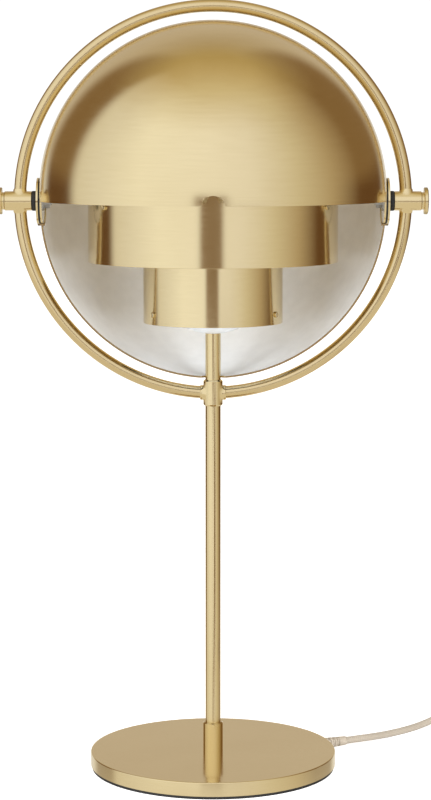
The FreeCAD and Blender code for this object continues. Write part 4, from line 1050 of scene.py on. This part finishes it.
# ------------------------------------------------------------------ the strap round the coil
# A short black strap that keeps the spare cord together.
strap = as_made("coil_tie", "coil_strap", black_rubber)


# ------------------------------------------------------------------ the floor
# The photographer's white sweep: a smooth matt table that reads as pure white, with only
# a trace of the lamp's shade where it stands.
let_go()
bpy.ops.mesh.primitive_plane_add(size=14.0, location=(0.0, 0.0, 0.0))
floor = bpy.context.object
floor.name = "floor"
floor_paint, nodes, link, shader = new_material("floor_paint")
dust = noise_on_object(nodes, link, 30.0, 3.0)
link(blend_colours(nodes, link, dust, (0.86, 0.86, 0.86), (0.88, 0.88, 0.88), 0.3, 0.7),
     shader.inputs["Base Color"])
shader.inputs["Roughness"].default_value = 0.9
shader.inputs["Specular IOR Level"].default_value = 0.1
seen = nodes.new("ShaderNodeLightPath")
floor_glow = 0.72
shader.inputs["Emission Color"].default_value = (1.0, 1.0, 1.0, 1.0)
link(reckon(nodes, link, "MULTIPLY", seen.outputs["Is Camera Ray"], floor_glow), shader.inputs["Emission Strength"])
floor.data.materials.append(floor_paint)
floor.visible_glossy = False


# ------------------------------------------------------------------ the studio
# What the brass mirrors: pale walls in front and behind, dark ones at the sides, a narrow
# dark gap where the camera stands and a dim ceiling. To the camera all round is white.
studio = bpy.data.worlds.new("studio")
bpy.context.scene.world = studio
studio.use_nodes = True
nodes = studio.node_tree.nodes
link = studio.node_tree.links.new
backdrop = nodes["Background"]
toward = nodes.new("ShaderNodeTexCoord")
axes = nodes.new("ShaderNodeSeparateXYZ")
link(toward.outputs["Generated"], axes.inputs["Vector"])


def on_view(operation, *values):
    """One step of arithmetic on the direction looked in."""
    return reckon(nodes, link, operation, *values)


def wall_of_tones(value, tones):
    """Colours along a sweep: (place from 0 to 1, colour)."""
    ramp = nodes.new("ShaderNodeValToRGB")
    stops = ramp.color_ramp.elements
    stops[0].position = tones[0][0]
    stops[0].color = (*tones[0][1], 1.0)
    stops[1].position = tones[-1][0]
    stops[1].color = (*tones[-1][1], 1.0)
    for place, colour in tones[1:-1]:
        stops.new(place).color = (*colour, 1.0)
    link(value, ramp.inputs["Fac"])
    return ramp.outputs["Color"]


def mixed(factor, low, high):
    """Two colours or outputs blended by a factor."""
    mix = nodes.new("ShaderNodeMix")
    mix.data_type = "RGBA"
    link(factor, mix.inputs["Factor"])
    for socket, colour in ((mix.inputs["A"], low), (mix.inputs["B"], high)):
        if isinstance(colour, tuple):
            socket.default_value = (*colour, 1.0)
        else:
            link(colour, socket)
    return mix.outputs["Result"]


def on_sweep(angle):
    """A direction round the lamp as a place on the ramp: 0 degrees is towards the camera."""
    return angle / 360.0 + 0.5


round_angle = on_view("ARCTAN2", axes.outputs["X"], on_view("MULTIPLY", axes.outputs["Y"], -1.0))
sweep = on_view("MULTIPLY_ADD", round_angle, 1.0 / (2 * pi), 0.5)
height_angle = on_view("MULTIPLY", on_view("ARCSINE", axes.outputs["Z"]), 2.0 / pi)


def walls(side_dark, back):
    """The tones all round at one height: a pale wall behind, dark sides, a light left and right."""
    return wall_of_tones(sweep, [
        (on_sweep(-180), back), (on_sweep(-149), back), (on_sweep(-137), side_dark),
        (on_sweep(-110), side_dark), (on_sweep(-101), (0.76, 0.74, 0.70)), (on_sweep(-83), (0.82, 0.81, 0.80)),
        (on_sweep(-50), (0.99, 1.0, 1.0)), (on_sweep(0), (0.95, 0.95, 0.97)), (on_sweep(26), (0.88, 0.87, 0.88)),
        (on_sweep(58), (0.68, 0.63, 0.51)), (on_sweep(84), (0.48, 0.39, 0.26)), (on_sweep(111), side_dark),
        (on_sweep(143), side_dark), (on_sweep(155), back), (on_sweep(180), back)])


low_tones = walls((0.13, 0.065, 0.025), (0.80, 0.78, 0.74))
middle_tones = walls((0.24, 0.150, 0.070), (0.56, 0.485, 0.39))
rising = wall_of_tones(height_angle, [(0.02, (0, 0, 0)), (0.09, (1, 1, 1))])
falling = wall_of_tones(on_view("MULTIPLY", height_angle, -1.0), [(0.09, (0, 0, 0)), (0.25, (1, 1, 1))])
all_round = mixed(falling, mixed(rising, low_tones, middle_tones), (0.76, 0.71, 0.61))
at_the_stem = wall_of_tones(on_view("MULTIPLY", height_angle, -1.0), [
    (0.066, (0, 0, 0)), (0.080, (1, 1, 1)), (0.135, (1, 1, 1)), (0.155, (0, 0, 0))])
gap_lean = 28.0
leaning = on_view("MULTIPLY_ADD", at_the_stem, -gap_lean / 360.0, sweep)
gap_round = wall_of_tones(leaning, [
    (on_sweep(-13), (0, 0, 0)), (on_sweep(-10), (1, 1, 1)), (on_sweep(7), (1, 1, 1)), (on_sweep(10.5), (0, 0, 0))])
gap_height = wall_of_tones(on_view("MULTIPLY_ADD", height_angle, 1.0, 0.5), [
    (0.326, (0, 0, 0)), (0.346, (1, 1, 1)), (0.495, (1, 1, 1)), (0.53, (0, 0, 0))])
gap = on_view("MULTIPLY", gap_round, gap_height)
low_ring = mixed(gap, all_round, (0.22, 0.135, 0.065))
ceiling = wall_of_tones(on_view("MULTIPLY_ADD", axes.outputs["Y"], 0.5, 0.5), [
    (0.36, (0.68, 0.60, 0.42)), (0.5, (0.57, 0.46, 0.26)), (0.61, (0.49, 0.38, 0.18)), (0.80, (0.43, 0.35, 0.24)),
    (0.90, (0.46, 0.40, 0.32))])
high = wall_of_tones(height_angle, [(0.46, (0, 0, 0)), (0.80, (1, 1, 1))])
everything = mixed(high, low_ring, ceiling)
looked_at = nodes.new("ShaderNodeLightPath")
seen_colour = mixed(looked_at.outputs["Is Camera Ray"], everything, (1.0, 1.0, 1.0))
link(seen_colour, backdrop.inputs["Color"])
backdrop.inputs["Strength"].default_value = 1.08

# Two wide panels beside the camera light the white and the matt surfaces. The brass
# doesn't mirror them: what it mirrors is the studio's walls.
panel_out = 1.4
panel_front = 1.8
panel_height = 0.62
panel_tilt = 83.0
panel_turn = 37.9
for side, way in (("left", -1), ("right", 1)):
    let_go()
    bpy.ops.object.light_add(type="AREA", location=(panel_out * way, -panel_front, panel_height),
                             rotation=(radians(panel_tilt), 0.0, radians(panel_turn) * way))
    panel = bpy.context.object
    panel.name = side + "_panel"
    panel.data.shape = "SQUARE"
    panel.data.size = 1.2
    panel.data.energy = 56.0
    panel.data.color = (0.84, 0.90, 0.97)
    panel.visible_glossy = False
    panel.visible_camera = False
bpy.context.scene.view_settings.view_transform = "Standard"
